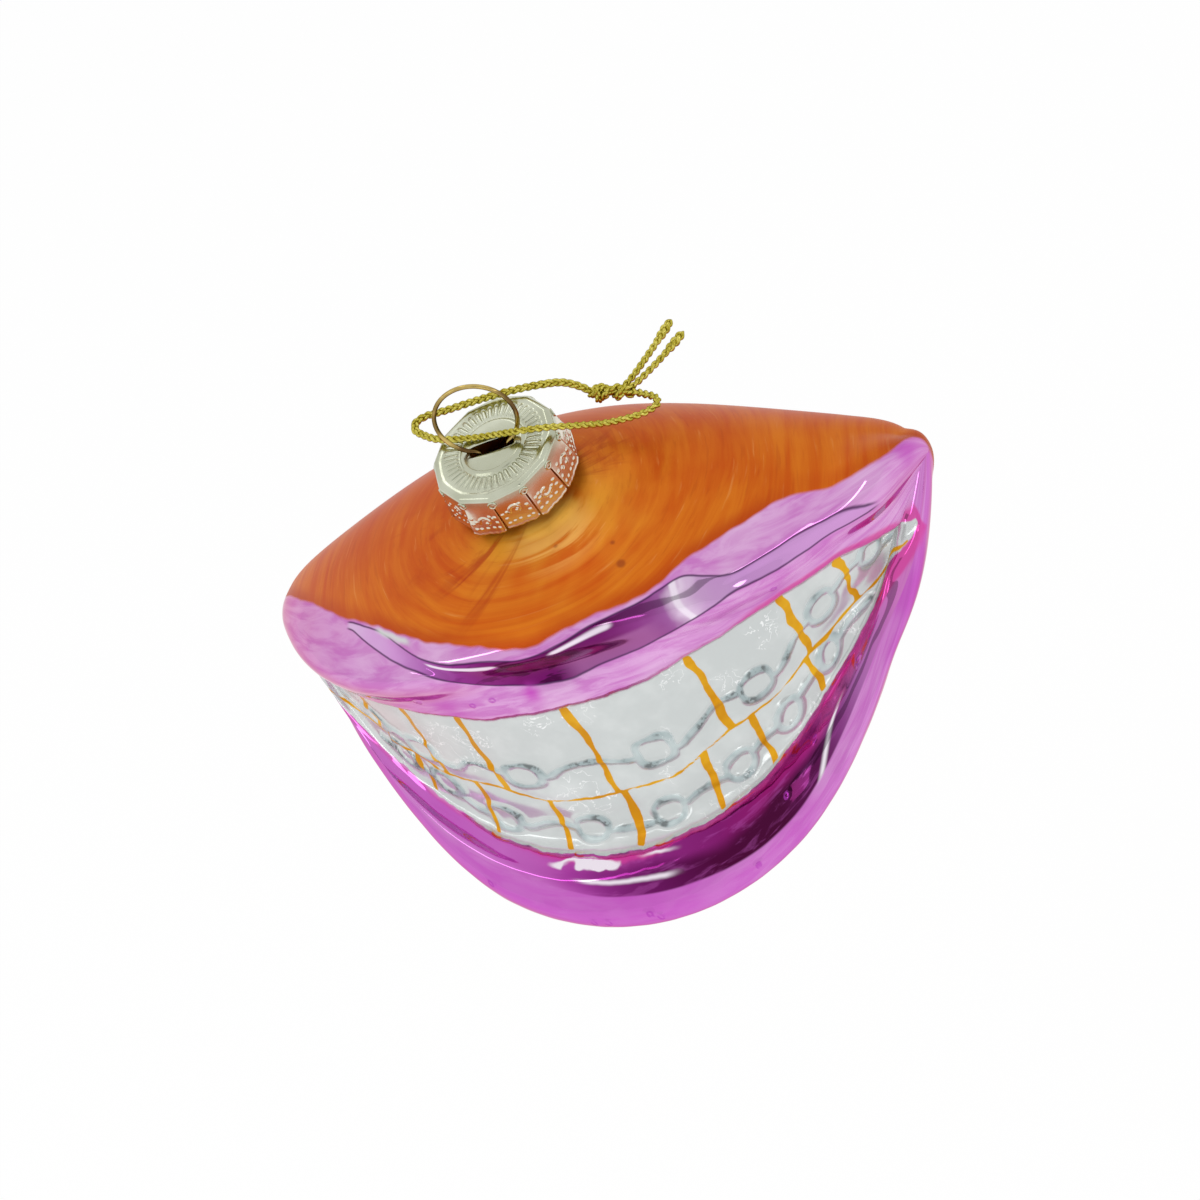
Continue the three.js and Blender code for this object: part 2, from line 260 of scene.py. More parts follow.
# %% Cord loop
CORD_LOOP = [
    (18.7, 8.6, 2.4), (20.6, 7.6, 2.4), (22.4, 6.3, 2.5), (22.8, 4.9, 2.7), (21.6, 3.6, 3.1),
    (19.2, 2.6, 3.8), (16.1, 1.2, 5.5), (12.9, -0.3, 8.1), (9.3, -0.5, 9.4), (5.7, -0.6, 10.2),
    (3.2, 0.1, 9.8), (-0.4, 1.2, 9.05), (-3.9, 1.9, 8.95), (-6.3, 2.5, 8.95), (-8.5, 3.2, 8.95),
    (-10.7, 4.6, 8.95), (-12.3, 6.1, 8.95), (-12.3, 7.5, 8.95), (-10.9, 8.2, 8.95), (-7.6, 8.3, 8.95),
    (-2.9, 8.6, 8.95), (2.0, 8.7, 8.95), (6.8, 9.0, 8.3), (9.5, 10.1, 6.4), (11.3, 10.6, 4.0),
]
INTO_KNOT = {"from": (17.2, 9.1, 2.3), "to": (12.6, 10.2, 2.6)}

loop_path = smooth_path([INTO_KNOT["from"]] + CORD_LOOP + [INTO_KNOT["to"]], PLAIT_STEP)
loop = add_piece("braided_loop", "cord", "gold_cord", *plait(loop_path))
print("cord loop", round(path_length(loop_path), 1), "mm")

# %% [markdown]
# The knot is an overhand one. Its strands lie long beside each other, and one goes round them at
# the loop's side. A lump with a rope pattern would fill the same space, but it would not show the
# cord going in and coming out, so each turn is wound from the same plait.

# %% Knot
KNOT = {"from": (12.2, 10.4, 2.5), "to": (18.3, 8.8, 2.4), "turns": 1.35, "radius": 0.72}
COLLAR = {"from": 0.1, "to": 0.3, "turns": 1.2, "radius": 1.0}


def knot_strand(first, last, turns, lead, radius):
    """A strand wound round the knot's middle line from one share of its length to another."""
    start, end = np.array(KNOT["from"]), np.array(KNOT["to"])
    along = (end - start) / np.linalg.norm(end - start)
    side = np.cross(along, [0, 0, 1.0])
    side /= np.linalg.norm(side)
    up = np.cross(side, along)
    t = np.linspace(0, 1, 48)[:, None]
    angle = lead + 2 * math.pi * turns * t
    pinch = np.sin(math.pi * (0.12 + 0.76 * t)) ** 0.5
    middle = start + (end - start) * (first + (last - first) * t)
    winding = np.cos(angle) * side + np.sin(angle) * up
    return plait(smooth_path(middle + radius * pinch * winding, PLAIT_STEP))


def tied_knot():
    """Two strands wound round each other, one through their middle and a collar round them."""
    strands = [knot_strand(0, 1, KNOT["turns"], lead, KNOT["radius"]) for lead in (0, math.pi)]
    strands.append(knot_strand(0.05, 0.95, 0.4, 1.0, 0.12))
    strands.append(knot_strand(COLLAR["from"], COLLAR["to"], COLLAR["turns"], 2.0, COLLAR["radius"]))
    return joined(strands)


knot = add_piece("braided_knot", "cord", "gold_cord", *tied_knot())
print("knot", round(math.dist(KNOT["from"], KNOT["to"]), 1), "mm long")

# %% [markdown]
# Two short ends leave the knot, and their strands have come loose at the tips. Loose fibres could be
# hair, but so few of them show that the same three strands, spread apart and thinned towards the
# end, read as fraying.

# %% Tails
TAIL_LEFT = [(17.9, 10.5, 2.6), (21.1, 14.8, 2.8), (24.3, 19.8, 3.0)]
TAIL_RIGHT = [(19.0, 9.75, 2.6), (23.0, 13.2, 2.8), (26.4, 16.9, 3.0)]
FRAY_LENGTH = 4.0


def tail(name, points, root):
    """A short free end from inside the knot, swollen where its strands have come loose."""
    path = smooth_path([root] + points, PLAIT_STEP)
    distance = path_length(path) * np.linspace(1, 0, len(path))
    loose = np.clip(1 - distance / FRAY_LENGTH, 0, 1)
    swell = 1 - 0.12 * (1 - loose) + 0.3 * np.sin(math.pi * np.clip(loose * 0.9, 0, 1)) - 0.6 * loose**9
    piece = add_piece(name, "cord", "gold_cord", *plait(path, swell))
    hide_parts("cord_" + name)
    print(name, round(path_length(path), 1), "mm with its root in the knot")
    return piece


tails = [tail("tail_left", TAIL_LEFT, (16.4, 9.4, 2.5)), tail("tail_right", TAIL_RIGHT, (17.2, 8.9, 2.5))]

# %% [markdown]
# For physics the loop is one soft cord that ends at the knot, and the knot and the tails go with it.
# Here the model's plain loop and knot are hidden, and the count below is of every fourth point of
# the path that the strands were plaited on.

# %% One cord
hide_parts("cord_loop")
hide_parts("cord_knot")
print("cord handed over with", len(loop_path[::4]), "points")

# %% [markdown]
# The hanger is one gold-brown wire: a round eye that leans back a little, and two sprung legs that
# spread inside the neck. It could be a curve with a bevel. The tube of the cord does the same, and
# its points stay at hand. The legs hardly show, but they are drawn down to their hooks so that the
# slot has something in it.

# %% Hanger wire
WIRE_RADIUS = 0.33
WIRE_STEP = 0.25
WIRE_SIDES = 12
EYE = {"radius": 5.85, "opening": 2.58, "lean": math.radians(10), "turn": math.radians(5)}
LEG = {"waist": 2.1, "spread": 5.2, "depth": 8.6, "hook_width": 1.2, "hook_height": 2.2}


def hanger_points():
    """The wire in its own plane, from one hook over the eye to the other."""
    inner = LEG["spread"] - LEG["hook_width"]
    reach = LEG["spread"] - LEG["waist"]
    leg = [
        (inner, LEG["hook_height"] - LEG["depth"]),
        (inner + 0.1, 0.5 - LEG["depth"]),
        (inner + LEG["hook_width"] / 2, -LEG["depth"]),
        (LEG["spread"], 0.6 - LEG["depth"]),
        (LEG["waist"] + 0.7 * reach, -0.7 * LEG["depth"]),
        (LEG["waist"] + 0.3 * reach, -0.35 * LEG["depth"]),
        (LEG["waist"], -1.4),
        (LEG["waist"] + 0.1, -0.5),
    ]
    rise = math.sqrt(EYE["radius"] ** 2 - EYE["opening"] ** 2)
    foot = math.acos(rise / EYE["radius"])
    angles = np.linspace(foot, 2 * math.pi - foot, 40)
    arc = [(-EYE["radius"] * math.sin(a), rise - EYE["radius"] * math.cos(a)) for a in angles]
    return [(-x, z) for x, z in leg] + arc + leg[::-1]


def add_hanger():
    lean = Matrix.Rotation(EYE["turn"], 3, "Z") @ Matrix.Rotation(-EYE["lean"], 3, "X")
    points = [lean @ Vector((x, 0, z)) + Vector((0, 0, CAP_TOP)) for x, z in hanger_points()]
    path = smooth_path(points, WIRE_STEP)
    piece = add_piece("gold_wire", "hanger", "hanger_metal", *tube_mesh(path, WIRE_RADIUS, WIRE_SIDES))
    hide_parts("hanger_wire")
    print("wire", round(path_length(path), 1), "mm long")
    return piece


wire = add_hanger()

# %% [markdown]
# The cap is pressed from thin sheet: a top with a raised middle and a ring of small ribs, a rolled
# shoulder, and a skirt cut into tabs. A lathe with bumps could stand in for it, but the slot and the
# slits are real edges. So it is one sheet of points round the neck, ring after ring from the slot
# outwards and down. The top comes first.

# %% Cap top
CAP = {"step": 4.7, "step_height": 0.35, "shoulder": 8.75, "disc": 9.35, "skirt": 10.0, "foot": 1.0}
CAP_SHEET = 0.3
CAP_SLOT = {"length": 7.1, "width": 2.3, "turn": math.radians(5)}
CAP_RIBS = {"count": 44, "from": (5.3, 5.8), "to": (7.2, 7.9), "height": 0.2}
CAP_TABS = 12
SLIT_WIDTH = 0.1
SHOULDER_DROP = 0.6
SHOULDER_LIFT = 0.05


def soft_step(low, high, value):
    """0 below low, 1 above high, and smooth between them."""
    t = np.clip((value - low) / (high - low), 0, 1)
    return t * t * (3 - 2 * t)


def hump(middle, width, value):
    return np.exp(-(((value - middle) / width) ** 2))


def slot_outline(angle):
    """Radius of the slot's rounded rectangle in each direction."""
    turned = angle - CAP_SLOT["turn"]
    along = np.abs(np.cos(turned)) / (CAP_SLOT["length"] / 2)
    across = np.abs(np.sin(turned)) / (CAP_SLOT["width"] / 2)
    return 1 / (along**9 + across**9) ** (1 / 9)


def cap_columns():
    """Angles round the cap, with one narrow column at each slit."""
    tab = 2 * math.pi / CAP_TABS
    half = SLIT_WIDTH / 2 / CAP["skirt"]
    return np.concatenate([np.linspace(half, tab - half, 44) + i * tab for i in range(CAP_TABS)])


def flats(angle):
    """How far a flat pressed between two slits lies inside the round, as a factor."""
    half = math.pi / CAP_TABS
    return 1 + 0.9 * (math.cos(half) / np.cos((angle % (2 * half)) - half) - 1)


def cap_top(angle):
    """Rings of the top: radius and height from the slot to the shoulder."""
    inner = slot_outline(angle)
    rings = []
    for t in np.linspace(0, 1, 12):
        radius = inner + (CAP["step"] - 0.3 - inner) * t
        rings.append((radius, CAP_TOP - 0.12 * hump(0, 0.12, t)))
    plain = CAP_TOP - CAP["step_height"]
    for radius in np.linspace(CAP["step"] - 0.2, CAP["shoulder"], 32):
        height = CAP_TOP + (plain - CAP_TOP) * soft_step(CAP["step"] - 0.15, CAP["step"] + 0.35, radius)
        span = soft_step(*CAP_RIBS["from"], radius) * (1 - soft_step(*CAP_RIBS["to"], radius))
        rib = CAP_RIBS["height"] * np.clip(np.cos(CAP_RIBS["count"] * angle), 0, 1) ** 1.3 * span
        edge = soft_step(8.0, 8.7, radius)
        rings.append((radius * (1 + (flats(angle) - 1) * edge), height + rib + SHOULDER_LIFT * edge))
    for t in np.linspace(0.1, 1, 9):
        bend = t * math.pi / 2
        radius = (CAP["shoulder"] + (CAP["disc"] - CAP["shoulder"]) * math.sin(bend)) * flats(angle)
        rings.append((radius, plain + SHOULDER_LIFT - (SHOULDER_DROP + SHOULDER_LIFT) * (1 - math.cos(bend))))
    return rings


print("cap top", len(cap_top(cap_columns())), "rings of", len(cap_columns()), "points")

# %% [markdown]
# The skirt is cut into twelve tabs that flare and curl a little, each its own way, and each tab is
# embossed with dots and a curl. A bump would be enough for the emboss in a straight view, but the
# tabs are seen edge on round the cap, so dots and curls lift the sheet itself.

# %% Cap skirt
DOT = {"height": 0.17, "width": 0.14}
CURL = {"height": 0.16, "width": 0.13, "steps": 22}


def tab_marks(place, height):
    """Embossed dots and a curl on each tab; the whole part of place is the tab's number."""
    rng = np.random.default_rng(7)
    relief = np.zeros_like(place)
    tab = np.floor(place).astype(int)
    local = (place - tab - 0.5) * 5.0
    for i in range(CAP_TABS):
        here = tab == i
        columns = [(side, level) for side in (-1, 1) for level in (2.2, 3.2, 4.2)]
        dots = [(side * 1.9 + rng.uniform(-0.15, 0.15), level) for side, level in columns]
        dots += [(across + rng.uniform(-0.15, 0.15), 2.0 + rng.uniform(0, 0.3)) for across in (-1, 0, 1)]
        dots += [(rng.uniform(-1.6, 1.6), rng.uniform(2.7, 5.2)) for _ in range(4)]
        for across, level in dots:
            gap = np.hypot(local - across, height - level)
            relief = np.maximum(relief, here * DOT["height"] * hump(0, DOT["width"], gap))
        middle = rng.uniform(-0.5, 0.5), rng.uniform(3.3, 4.5)
        spin = rng.uniform(0, 2 * math.pi)
        for k in range(CURL["steps"]):
            a, reach = spin + k * 0.21, 0.3 + 0.035 * k
            gap = np.hypot(local - middle[0] - reach * math.cos(a), height - middle[1] - reach * math.sin(a))
            relief = np.maximum(relief, here * CURL["height"] * hump(0, CURL["width"], gap))
    return relief


def cap_skirt(angle):
    """Rings of the skirt: flat tabs that flare and curl a little unevenly."""
    rng = np.random.default_rng(3)
    place = angle / (2 * math.pi) * CAP_TABS
    tab = np.clip(place.astype(int), 0, CAP_TABS - 1)
    local = place - tab - 0.5
    lean = rng.uniform(-0.25, 0.35, CAP_TABS)[tab]
    skew = rng.uniform(-0.5, 0.5, CAP_TABS)[tab]
    foot = CAP["foot"] + rng.uniform(-0.2, 0.25, CAP_TABS)[tab] + 0.5 * np.abs(2 * local) ** 6
    foot = foot + 0.1 * np.sin(9 * local + 3 * tab) * np.sin(23 * local)
    shoulder = CAP_TOP - CAP["step_height"] - SHOULDER_DROP
    rings = []
    for t in np.linspace(0.02, 1, 64):
        height = shoulder + (foot - shoulder) * t
        free = soft_step(0.1, 1, np.full_like(angle, t))
        radius = (CAP["disc"] + (CAP["skirt"] - CAP["disc"]) * t) * flats(angle)
        radius = radius + free * (lean + skew * local + 0.5 * local**2) + 0.06 * hump(1, 0.05, t)
        marks = tab_marks(place, height) * soft_step(0.1, 0.2, np.full_like(angle, t))
        rings.append((radius + marks, height))
    return rings


skirt_rings = cap_skirt(cap_columns())
print("skirt reaches", round(float(max(radius.max() for radius, _ in skirt_rings)), 2), "mm from the axis")

# %% [markdown]
# Top and skirt are now joined into faces, with none across a slit, and a Solidify modifier gives the
# sheet its thickness, slits and all. Modelling both sides by hand would only repeat every ring. The
# small raised ring that ends each slit is a loop of tube.

# %% Cap sheet
SLIT_TOP = 6.3
SLIT_RING = {"radius": 0.55, "tube": 0.15, "lift": 0.2}


def cap_sheet():
    """The whole pressed sheet: points and faces, with the slits left open."""
    angle = cap_columns()
    rings = cap_top(angle) + cap_skirt(angle)
    radius = np.array([np.broadcast_to(ring[0], angle.shape) for ring in rings])
    height = np.array([np.broadcast_to(ring[1], angle.shape) for ring in rings])
    points = np.stack([radius * np.cos(angle), radius * np.sin(angle), height], axis=-1)
    count = len(angle)
    per_tab = count // CAP_TABS
    faces = []
    for i in range(len(rings) - 1):
        for j in range(count):
            k = (j + 1) % count
            slit = j % per_tab == per_tab - 1
            if slit and height[i + 1, j] < SLIT_TOP:
                continue
            faces.append((i * count + j, (i + 1) * count + j, (i + 1) * count + k, i * count + k))
    return points.reshape(-1, 3), faces


def slit_rims():
    """The small raised ring at the top of each slit."""
    parts = []
    for i in range(CAP_TABS):
        angle = i * 2 * math.pi / CAP_TABS
        out = np.array([math.cos(angle), math.sin(angle), 0])
        side = np.array([-math.sin(angle), math.cos(angle), 0])
        up = np.array([0, 0, 1.0])
        t = np.linspace(0, 2 * math.pi, 21)[:, None]
        middle = out * (CAP["disc"] + CAP_SHEET) + up * (SLIT_TOP + SLIT_RING["lift"])
        ring = middle + SLIT_RING["radius"] * (np.cos(t) * side + np.sin(t) * up)
        parts.append(tube_mesh(ring, SLIT_RING["tube"], 8))
    return joined(parts)


def add_cap():
    sheet = add_piece("pressed_cap", "cap", "cap_metal", *cap_sheet())
    thick = sheet.modifiers.new("sheet thickness", "SOLIDIFY")
    thick.thickness = CAP_SHEET * MM
    thick.offset = 1
    rims = add_piece("slit_rims", "cap", "cap_metal", *slit_rims())
    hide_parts("cap_crown")
    return sheet, rims


cap, rims = add_cap()

# %% [markdown]
# The glass was blown into a mould, so its lips, teeth and brackets are all one skin. It could be
# sculpted, but numbers can be set against the photograph and changed one at a time. The skin is
# swept from a closed section at the middle of the smile, which shrinks and bends towards the two
# corners. A point on it is named by its place round that section, 0 to 16, and by its distance from
# the middle, and every lip line, tooth and bracket below is written in those two numbers.

# %% The blown skin
SECTION = np.array([
    (22.5, -30.0, 1.30), (22.0, -13.5, 1.38), (9.3, -1.8, 1.42), (-9.7, -0.1, 1.35),
    (-27.3, -3.3, 1.36), (-27.0, -12.0, 1.68), (-27.9, -19.4, 1.85), (-28.8, -27.6, 1.95),
    (-30.4, -35.5, 2.10), (-32.3, -42.7, 1.90), (-38.8, -45.0, 1.72), (-41.8, -51.4, 1.56),
    (-38.8, -55.2, 1.38), (-24.2, -58.7, 1.30), (-4.0, -58.2, 1.10), (11.5, -51.5, 1.15),
])
HALF_WIDTH = 51.2
MIDDLE = {"y": -11.5, "z": -33.0}
ARCH_SWEEP = (5.3, 14.6)
SMILE_LIFT = (2.6, 6.3)


def round_value(values, place):
    """A smooth value between numbers that stand evenly round the closed section."""
    index = np.floor(place).astype(int)
    t = place - index
    a, b, c, d = (values[(index + k) % len(values)] for k in (-1, 0, 1, 2))
    return b + 0.5 * t * (c - a + t * (2 * a - 5 * b + 4 * c - d + t * (3 * (b - c) + d - a)))


def skin_point(place, across):
    """Points of the plain skin; across is the distance from the middle in millimetres."""
    reach = across / HALF_WIDTH
    square = reach**2
    shrink = np.sqrt(np.clip(1 - square, 1e-9, 1)) ** round_value(SECTION[:, 2], place)
    y = MIDDLE["y"] + ARCH_SWEEP[0] * square + ARCH_SWEEP[1] * square**2
    z = MIDDLE["z"] + SMILE_LIFT[0] * square + SMILE_LIFT[1] * square**2
    y = y + (round_value(SECTION[:, 0], place) - MIDDLE["y"]) * shrink
    z = z + (round_value(SECTION[:, 1], place) - MIDDLE["z"]) * shrink
    return np.stack([across + 0 * place, y, z], axis=-1)


def skin_grid(places, turns):
    """A grid of plain skin points with its outward normals and its stretch both ways."""
    place, turn = np.meshgrid(places, turns, indexing="ij")
    across = HALF_WIDTH * np.sin(turn)
    points = skin_point(place, across)
    step = 1e-3
    ahead, behind = skin_point(place + step, across), skin_point(place - step, across)
    right = skin_point(place, HALF_WIDTH * np.sin(turn + step))
    left = skin_point(place, HALF_WIDTH * np.sin(turn - step))
    normal = np.cross(ahead - behind, right - left)
    normal /= np.maximum(np.linalg.norm(normal, axis=-1, keepdims=True), 1e-12)
    per_place = np.linalg.norm(ahead - behind, axis=-1) / (2 * step)
    side_step = HALF_WIDTH * np.maximum(np.sin(turn + step) - np.sin(turn - step), 1e-6)
    per_across = np.linalg.norm(right - left, axis=-1) / side_step
    return place, across, points, normal, per_place, per_across


print("skin at the middle of the upper teeth", skin_point(np.array(7.0), np.array(0.0)).round(1))

# %% [markdown]
# These lines are where one feature ends and the next begins. A drawn texture could hold them, but it
# would blur at close range. Each is a short list of a distance along the smile and a place round the
# section. numpy draws straight lines between them, and the small unevenness of hand painting is
# added where they are used.

# %% Lines of the smile
PAINT_EDGE = [
    (-51, 2.7), (-41.8, 2.98), (-34.2, 3.21), (-22.9, 3.49), (-13.6, 3.73), (-5.3, 3.92), (2.2, 4.08),
    (6.9, 3.96), (12.8, 3.85), (19.7, 3.79), (25.2, 3.55), (30.3, 3.41), (36.5, 3.26), (39.5, 3.28),
    (42.4, 3.46), (46, 3.5), (48.5, 3.5), (50, 3.1), (51, 2.2),
]
FOLD_TOP = [
    (-29.3, 3.36), (-22.5, 3.53), (-15.6, 3.88), (-11.5, 4.03), (-5.5, 4.11), (0, 4.26), (4, 4.21),
    (11.2, 3.97), (18.3, 3.86), (24.1, 3.7), (29.9, 3.93), (38.6, 3.85), (43.8, 3.99), (46, 4.3),
]
FOLD_FOOT = [
    (-29.3, 3.42), (-22, 3.78), (-16, 4.06), (-11.4, 4.42), (-7, 4.86), (-1.5, 5.08), (3.7, 5.15),
    (8.8, 4.97), (15, 4.85), (20.6, 4.64), (29.9, 4.24), (35.4, 4.3), (40.5, 4.36), (46, 4.32),
]
TEETH_TOP = [
    (0, 5.86), (12, 5.81), (20, 5.52), (28, 5.3), (34.2, 5.26), (40.5, 5.6), (44.8, 6.85), (46.5, 8.3),
    (47.6, 10.2), (48.5, 11.2),
]
TEETH_FOOT = [
    (0, 9.48), (8, 9.42), (15, 9.4), (22, 9.3), (28, 9.12), (34.3, 9.02), (40, 9.15), (43, 9.4),
    (46, 9.95), (47.6, 10.6), (48.5, 11.1),
]
ROW_LINE = [
    (0, 8.12), (10, 8.16), (19, 7.8), (27, 7.9), (32.6, 7.7), (38.8, 8.05), (44.5, 9.18), (48.5, 11.1),
]
RIM_LINE = [
    (-51, 11.3), (-45, 10.5), (-36, 9.95), (-25, 10.0), (-15, 10.15), (-7, 10.35), (0, 10.42), (9, 10.5),
    (18, 10.64), (25, 10.69), (31, 10.58), (37, 10.46), (41, 10.52), (45, 10.8), (51, 11.6),
]
CORNER_SHIFTS = (-1.2, -0.6, 0, 0.6, 1.2)


def along_line(line, across):
    """A line's place at each distance across, with its corners rounded off a little."""
    places = np.array(line)
    shifted = [np.interp(across + shift, places[:, 0], places[:, 1]) for shift in CORNER_SHIFTS]
    return sum(shifted) / len(CORNER_SHIFTS)


def hand_wobble(value, seed):
    """Slow unevenness, a few sines that never repeat in step, about 1 either way."""
    waves = ((0.5, 0.83, 1.0), (0.3, 2.17, 2.3), (0.2, 4.9, 3.1))
    return sum(size * np.sin(pace * value + lead * seed) for size, pace, lead in waves)


print("the teeth begin at", along_line(TEETH_TOP, np.array([0.0, 40.0])).round(2), "round the section")

# %% [markdown]
# Two rows of eight teeth fill the smile. Each gap between two teeth is a distance along the smile,
# and its line wavers a little on the way down. The distance to the nearest gap is all that the
# relief and the amber lines need, so no tooth is a mesh of its own.

# %% Gaps between the teeth
UPPER_GAPS = [-35.5, -26.5, -17.0, 0.2, 19.3, 32.6, 40.0]
LOWER_GAPS = [-31.0, -21.7, -10.8, 0.9, 14.2, 22.8, 32.0]


def gap_distance(gaps, place, across, per_across):
    """Distance in millimetres to the nearest line between two teeth."""
    nearest = np.full(across.shape, 99.0)
    for i, gap in enumerate(gaps):
        line = gap + 0.5 * hand_wobble(1.6 * place, i + 1.0)
        nearest = np.minimum(nearest, np.abs(across - line) * per_across)
    return nearest


print(len(UPPER_GAPS) + 1, "upper teeth and", len(LOWER_GAPS) + 1, "lower teeth")

# %% [markdown]
# Each tooth carries a small bracket, a raised ring, and a wavy wire runs from one to the next. They
# are pressed into the same glass, so they are not rings and wires laid on top. They are given as
# bracket centres and as points of each wire. Distances are measured along the glass in millimetres,
# so the brackets keep their size where the smile turns away.

# %% Brackets and arch wires
BRACKETS = [
    (-35.3, 6.63, 2.5, 2.2, 2.2), (-28.5, 7.07, 2.7, 2.2, 2.2), (-12.3, 7.39, 3.0, 2.2, 2.4),
    (8.7, 7.41, 2.7, 2.3, 3.6), (25.1, 7.18, 2.6, 2.2, 2.4), (36.1, 6.66, 2.5, 2.0, 2.4),
    (42.9, 6.84, 2.0, 1.6, 2.2), (-33.7, 8.16, 2.5, 1.8, 2.2), (-27.5, 8.3, 2.6, 1.9, 2.2),
    (-19.6, 8.74, 2.6, 1.9, 2.2), (-6.1, 8.82, 2.4, 1.9, 2.3), (6.2, 8.82, 2.4, 2.0, 2.3),
    (18.3, 8.66, 2.4, 1.9, 2.3), (26.9, 8.52, 2.3, 1.8, 2.2), (34.3, 8.32, 2.2, 1.7, 2.2),
]
UPPER_WIRE = [
    (-44, 7.3), (-38, 6.8), (-35.3, 6.63), (-32, 6.7), (-28.5, 7.07), (-24, 7.5), (-20, 7.0),
    (-16, 7.35), (-12.2, 7.39), (-8.9, 7.5), (-4.9, 7.26), (-0.9, 7.25), (4.9, 7.47), (8.7, 7.4),
    (11.6, 7.59), (16.1, 7.28), (19.2, 7.01), (22.1, 7.06), (25.1, 7.18), (28.5, 7.35), (31, 6.9),
    (33.5, 6.7), (36.1, 6.66), (38.5, 6.6), (40.5, 6.5), (42.9, 6.84), (46, 8.2),
]
LOWER_WIRE = [
    (-40, 8.7), (-33.7, 8.16), (-30.5, 8.35), (-27.5, 8.3), (-24, 8.8), (-19.6, 8.76), (-16.2, 8.9),
    (-12.7, 8.68), (-10.1, 8.72), (-6.1, 9.0), (-1.4, 8.95), (2.4, 9.0), (6.2, 8.95), (11, 8.7),
    (14.5, 8.68), (18.3, 8.8), (22, 8.5), (26.9, 8.56), (30, 8.3), (34.3, 8.34), (38, 8.3), (43, 9.2),
]
STROKE = {"ring": 0.55, "wire": 0.5}
FAR_OUTSIDE = -9.0


def bracket_cover(place, across, per_place, per_across):
    """Millimetres inside the stroke of the nearest ring, and how far inside a bracket a point is."""
    stroke, inside = np.full(place.shape, FAR_OUTSIDE), np.zeros(place.shape)
    for i, (middle, level, wide, tall, corner) in enumerate(BRACKETS):
        u = np.abs(across - middle) * per_across / wide
        v = np.abs(place - level) * per_place / tall
        size = (u**corner + v**corner) ** (1 / corner)
        uneven = 0.12 * np.sin(2 * np.arctan2(place - level, 0.25 * (across - middle)) + i)
        gap = np.abs(size - 1) * (wide + tall) / 2
        stroke = np.maximum(stroke, STROKE["ring"] + uneven - gap)
        inside = np.maximum(inside, 1 - soft_step(0.7, 1.0, size))
    return stroke, inside


def wire_cover(place, across, per_place, per_across):
    """Millimetres inside the stroke of the nearest arch wire."""
    stroke = np.full(place.shape, FAR_OUTSIDE)
    for line, low, high in ((UPPER_WIRE, -43, 45), (LOWER_WIRE, -38, 41)):
        level = along_line(line, across)
        slope = (along_line(line, across + 0.2) - along_line(line, across - 0.2)) / 0.4
        tilt = np.sqrt(1 + (slope * per_place / per_across) ** 2)
        gap = np.abs(place - level) * per_place / tilt
        width = STROKE["wire"] + 0.13 * hand_wobble(across, 2.0)
        past = np.maximum(np.maximum(low - across, across - high), 0)
        stroke = np.maximum(stroke, width - gap - past)
    return stroke


print(len(BRACKETS), "brackets")

# %% [markdown]
# Relief and paint both ask where a point stands between the lines: how many millimetres inside the
# painted lips, the teeth or the fold. A distance stays smooth between the points of the mesh, so the
# material can cut a clean edge in it, which a colour painted on the points could not give.

# %% Where a point stands
LIP_BACK = 13.6
TEETH_END = 48.3


def inside_band(low, high, place, per_place):
    """Millimetres inside the band between two lines, negative outside it."""
    return np.minimum(place - low, high - place) * per_place


def smile_at(place, across, per_place, per_across):
    """The lines at each point, and how far inside the lips, the teeth and the fold it lies."""
    size = np.abs(across)
    edge = along_line(PAINT_EDGE, across) + 0.02 * hand_wobble(0.5 * across, 1.7)
    top = along_line(TEETH_TOP, size) + 0.025 * hand_wobble(0.8 * across, 4.0)
    foot = along_line(TEETH_FOOT, size) + 0.03 * hand_wobble(0.9 * across, 5.2)
    rim = along_line(RIM_LINE, across)
    fold_top, fold_foot = along_line(FOLD_TOP, across), along_line(FOLD_FOOT, across)
    return {
        "top": top,
        "foot": foot,
        "rim": rim,
        "fold_foot": fold_foot,
        "row": along_line(ROW_LINE, size) + 0.02 * hand_wobble(0.7 * across, 2.9),
        "lip": inside_band(edge, LIP_BACK, place, per_place),
        "teeth": np.minimum(inside_band(top, foot, place, per_place), (TEETH_END - size) * per_across),
        "fold": inside_band(fold_top, fold_foot, place, per_place),
        "deep": np.clip((place - fold_top) / np.maximum(fold_foot - fold_top, 0.02), -1, 2),
        "shelf": (place - foot) / (rim - foot),
    }


print("the teeth reach", TEETH_END, "of the", HALF_WIDTH, "mm on each side")

# %% [markdown]
# The lips swell, the fold in the upper lip and the shelf of the lower one sink, and the corners of
# the mouth are fuller than the plain section. The relief pushes the skin in and out along its
# normal. A displacement texture would do the same but would not keep its edges as sharp.

# %% Relief of the lips
LONGER_TIP = 1.7
CORNER = {"start": 40.0, "widest": 48.3}


def lip_relief(smile, place, across):
    """Rolls, fold, shelf, rim and a faint ripple, in millimetres."""
    ends = 1 - soft_step(42.0, 48.0, np.abs(across))
    roll = np.clip((place - smile["fold_foot"]) / np.maximum(smile["top"] - smile["fold_foot"], 0.05), 0, 1)
    fold_span = soft_step(-29.5, -20, across) * (1 - soft_step(32, 45, across))
    fold = 0.55 * np.sin(math.pi * np.clip(smile["deep"], 0, 1)) * fold_span
    shelf = 0.35 * hump(0.5, 0.3, smile["shelf"])
    rim = 0.5 * hump(smile["rim"] + 0.75, 0.45, place)
    ripple = 0.04 * np.clip(smile["lip"], 0, 1) * hand_wobble(0.35 * across + 1.3 * place, 0.4)
    return (0.55 * np.sin(math.pi * roll) ** 0.8 - shelf + rim + ripple) * ends - fold


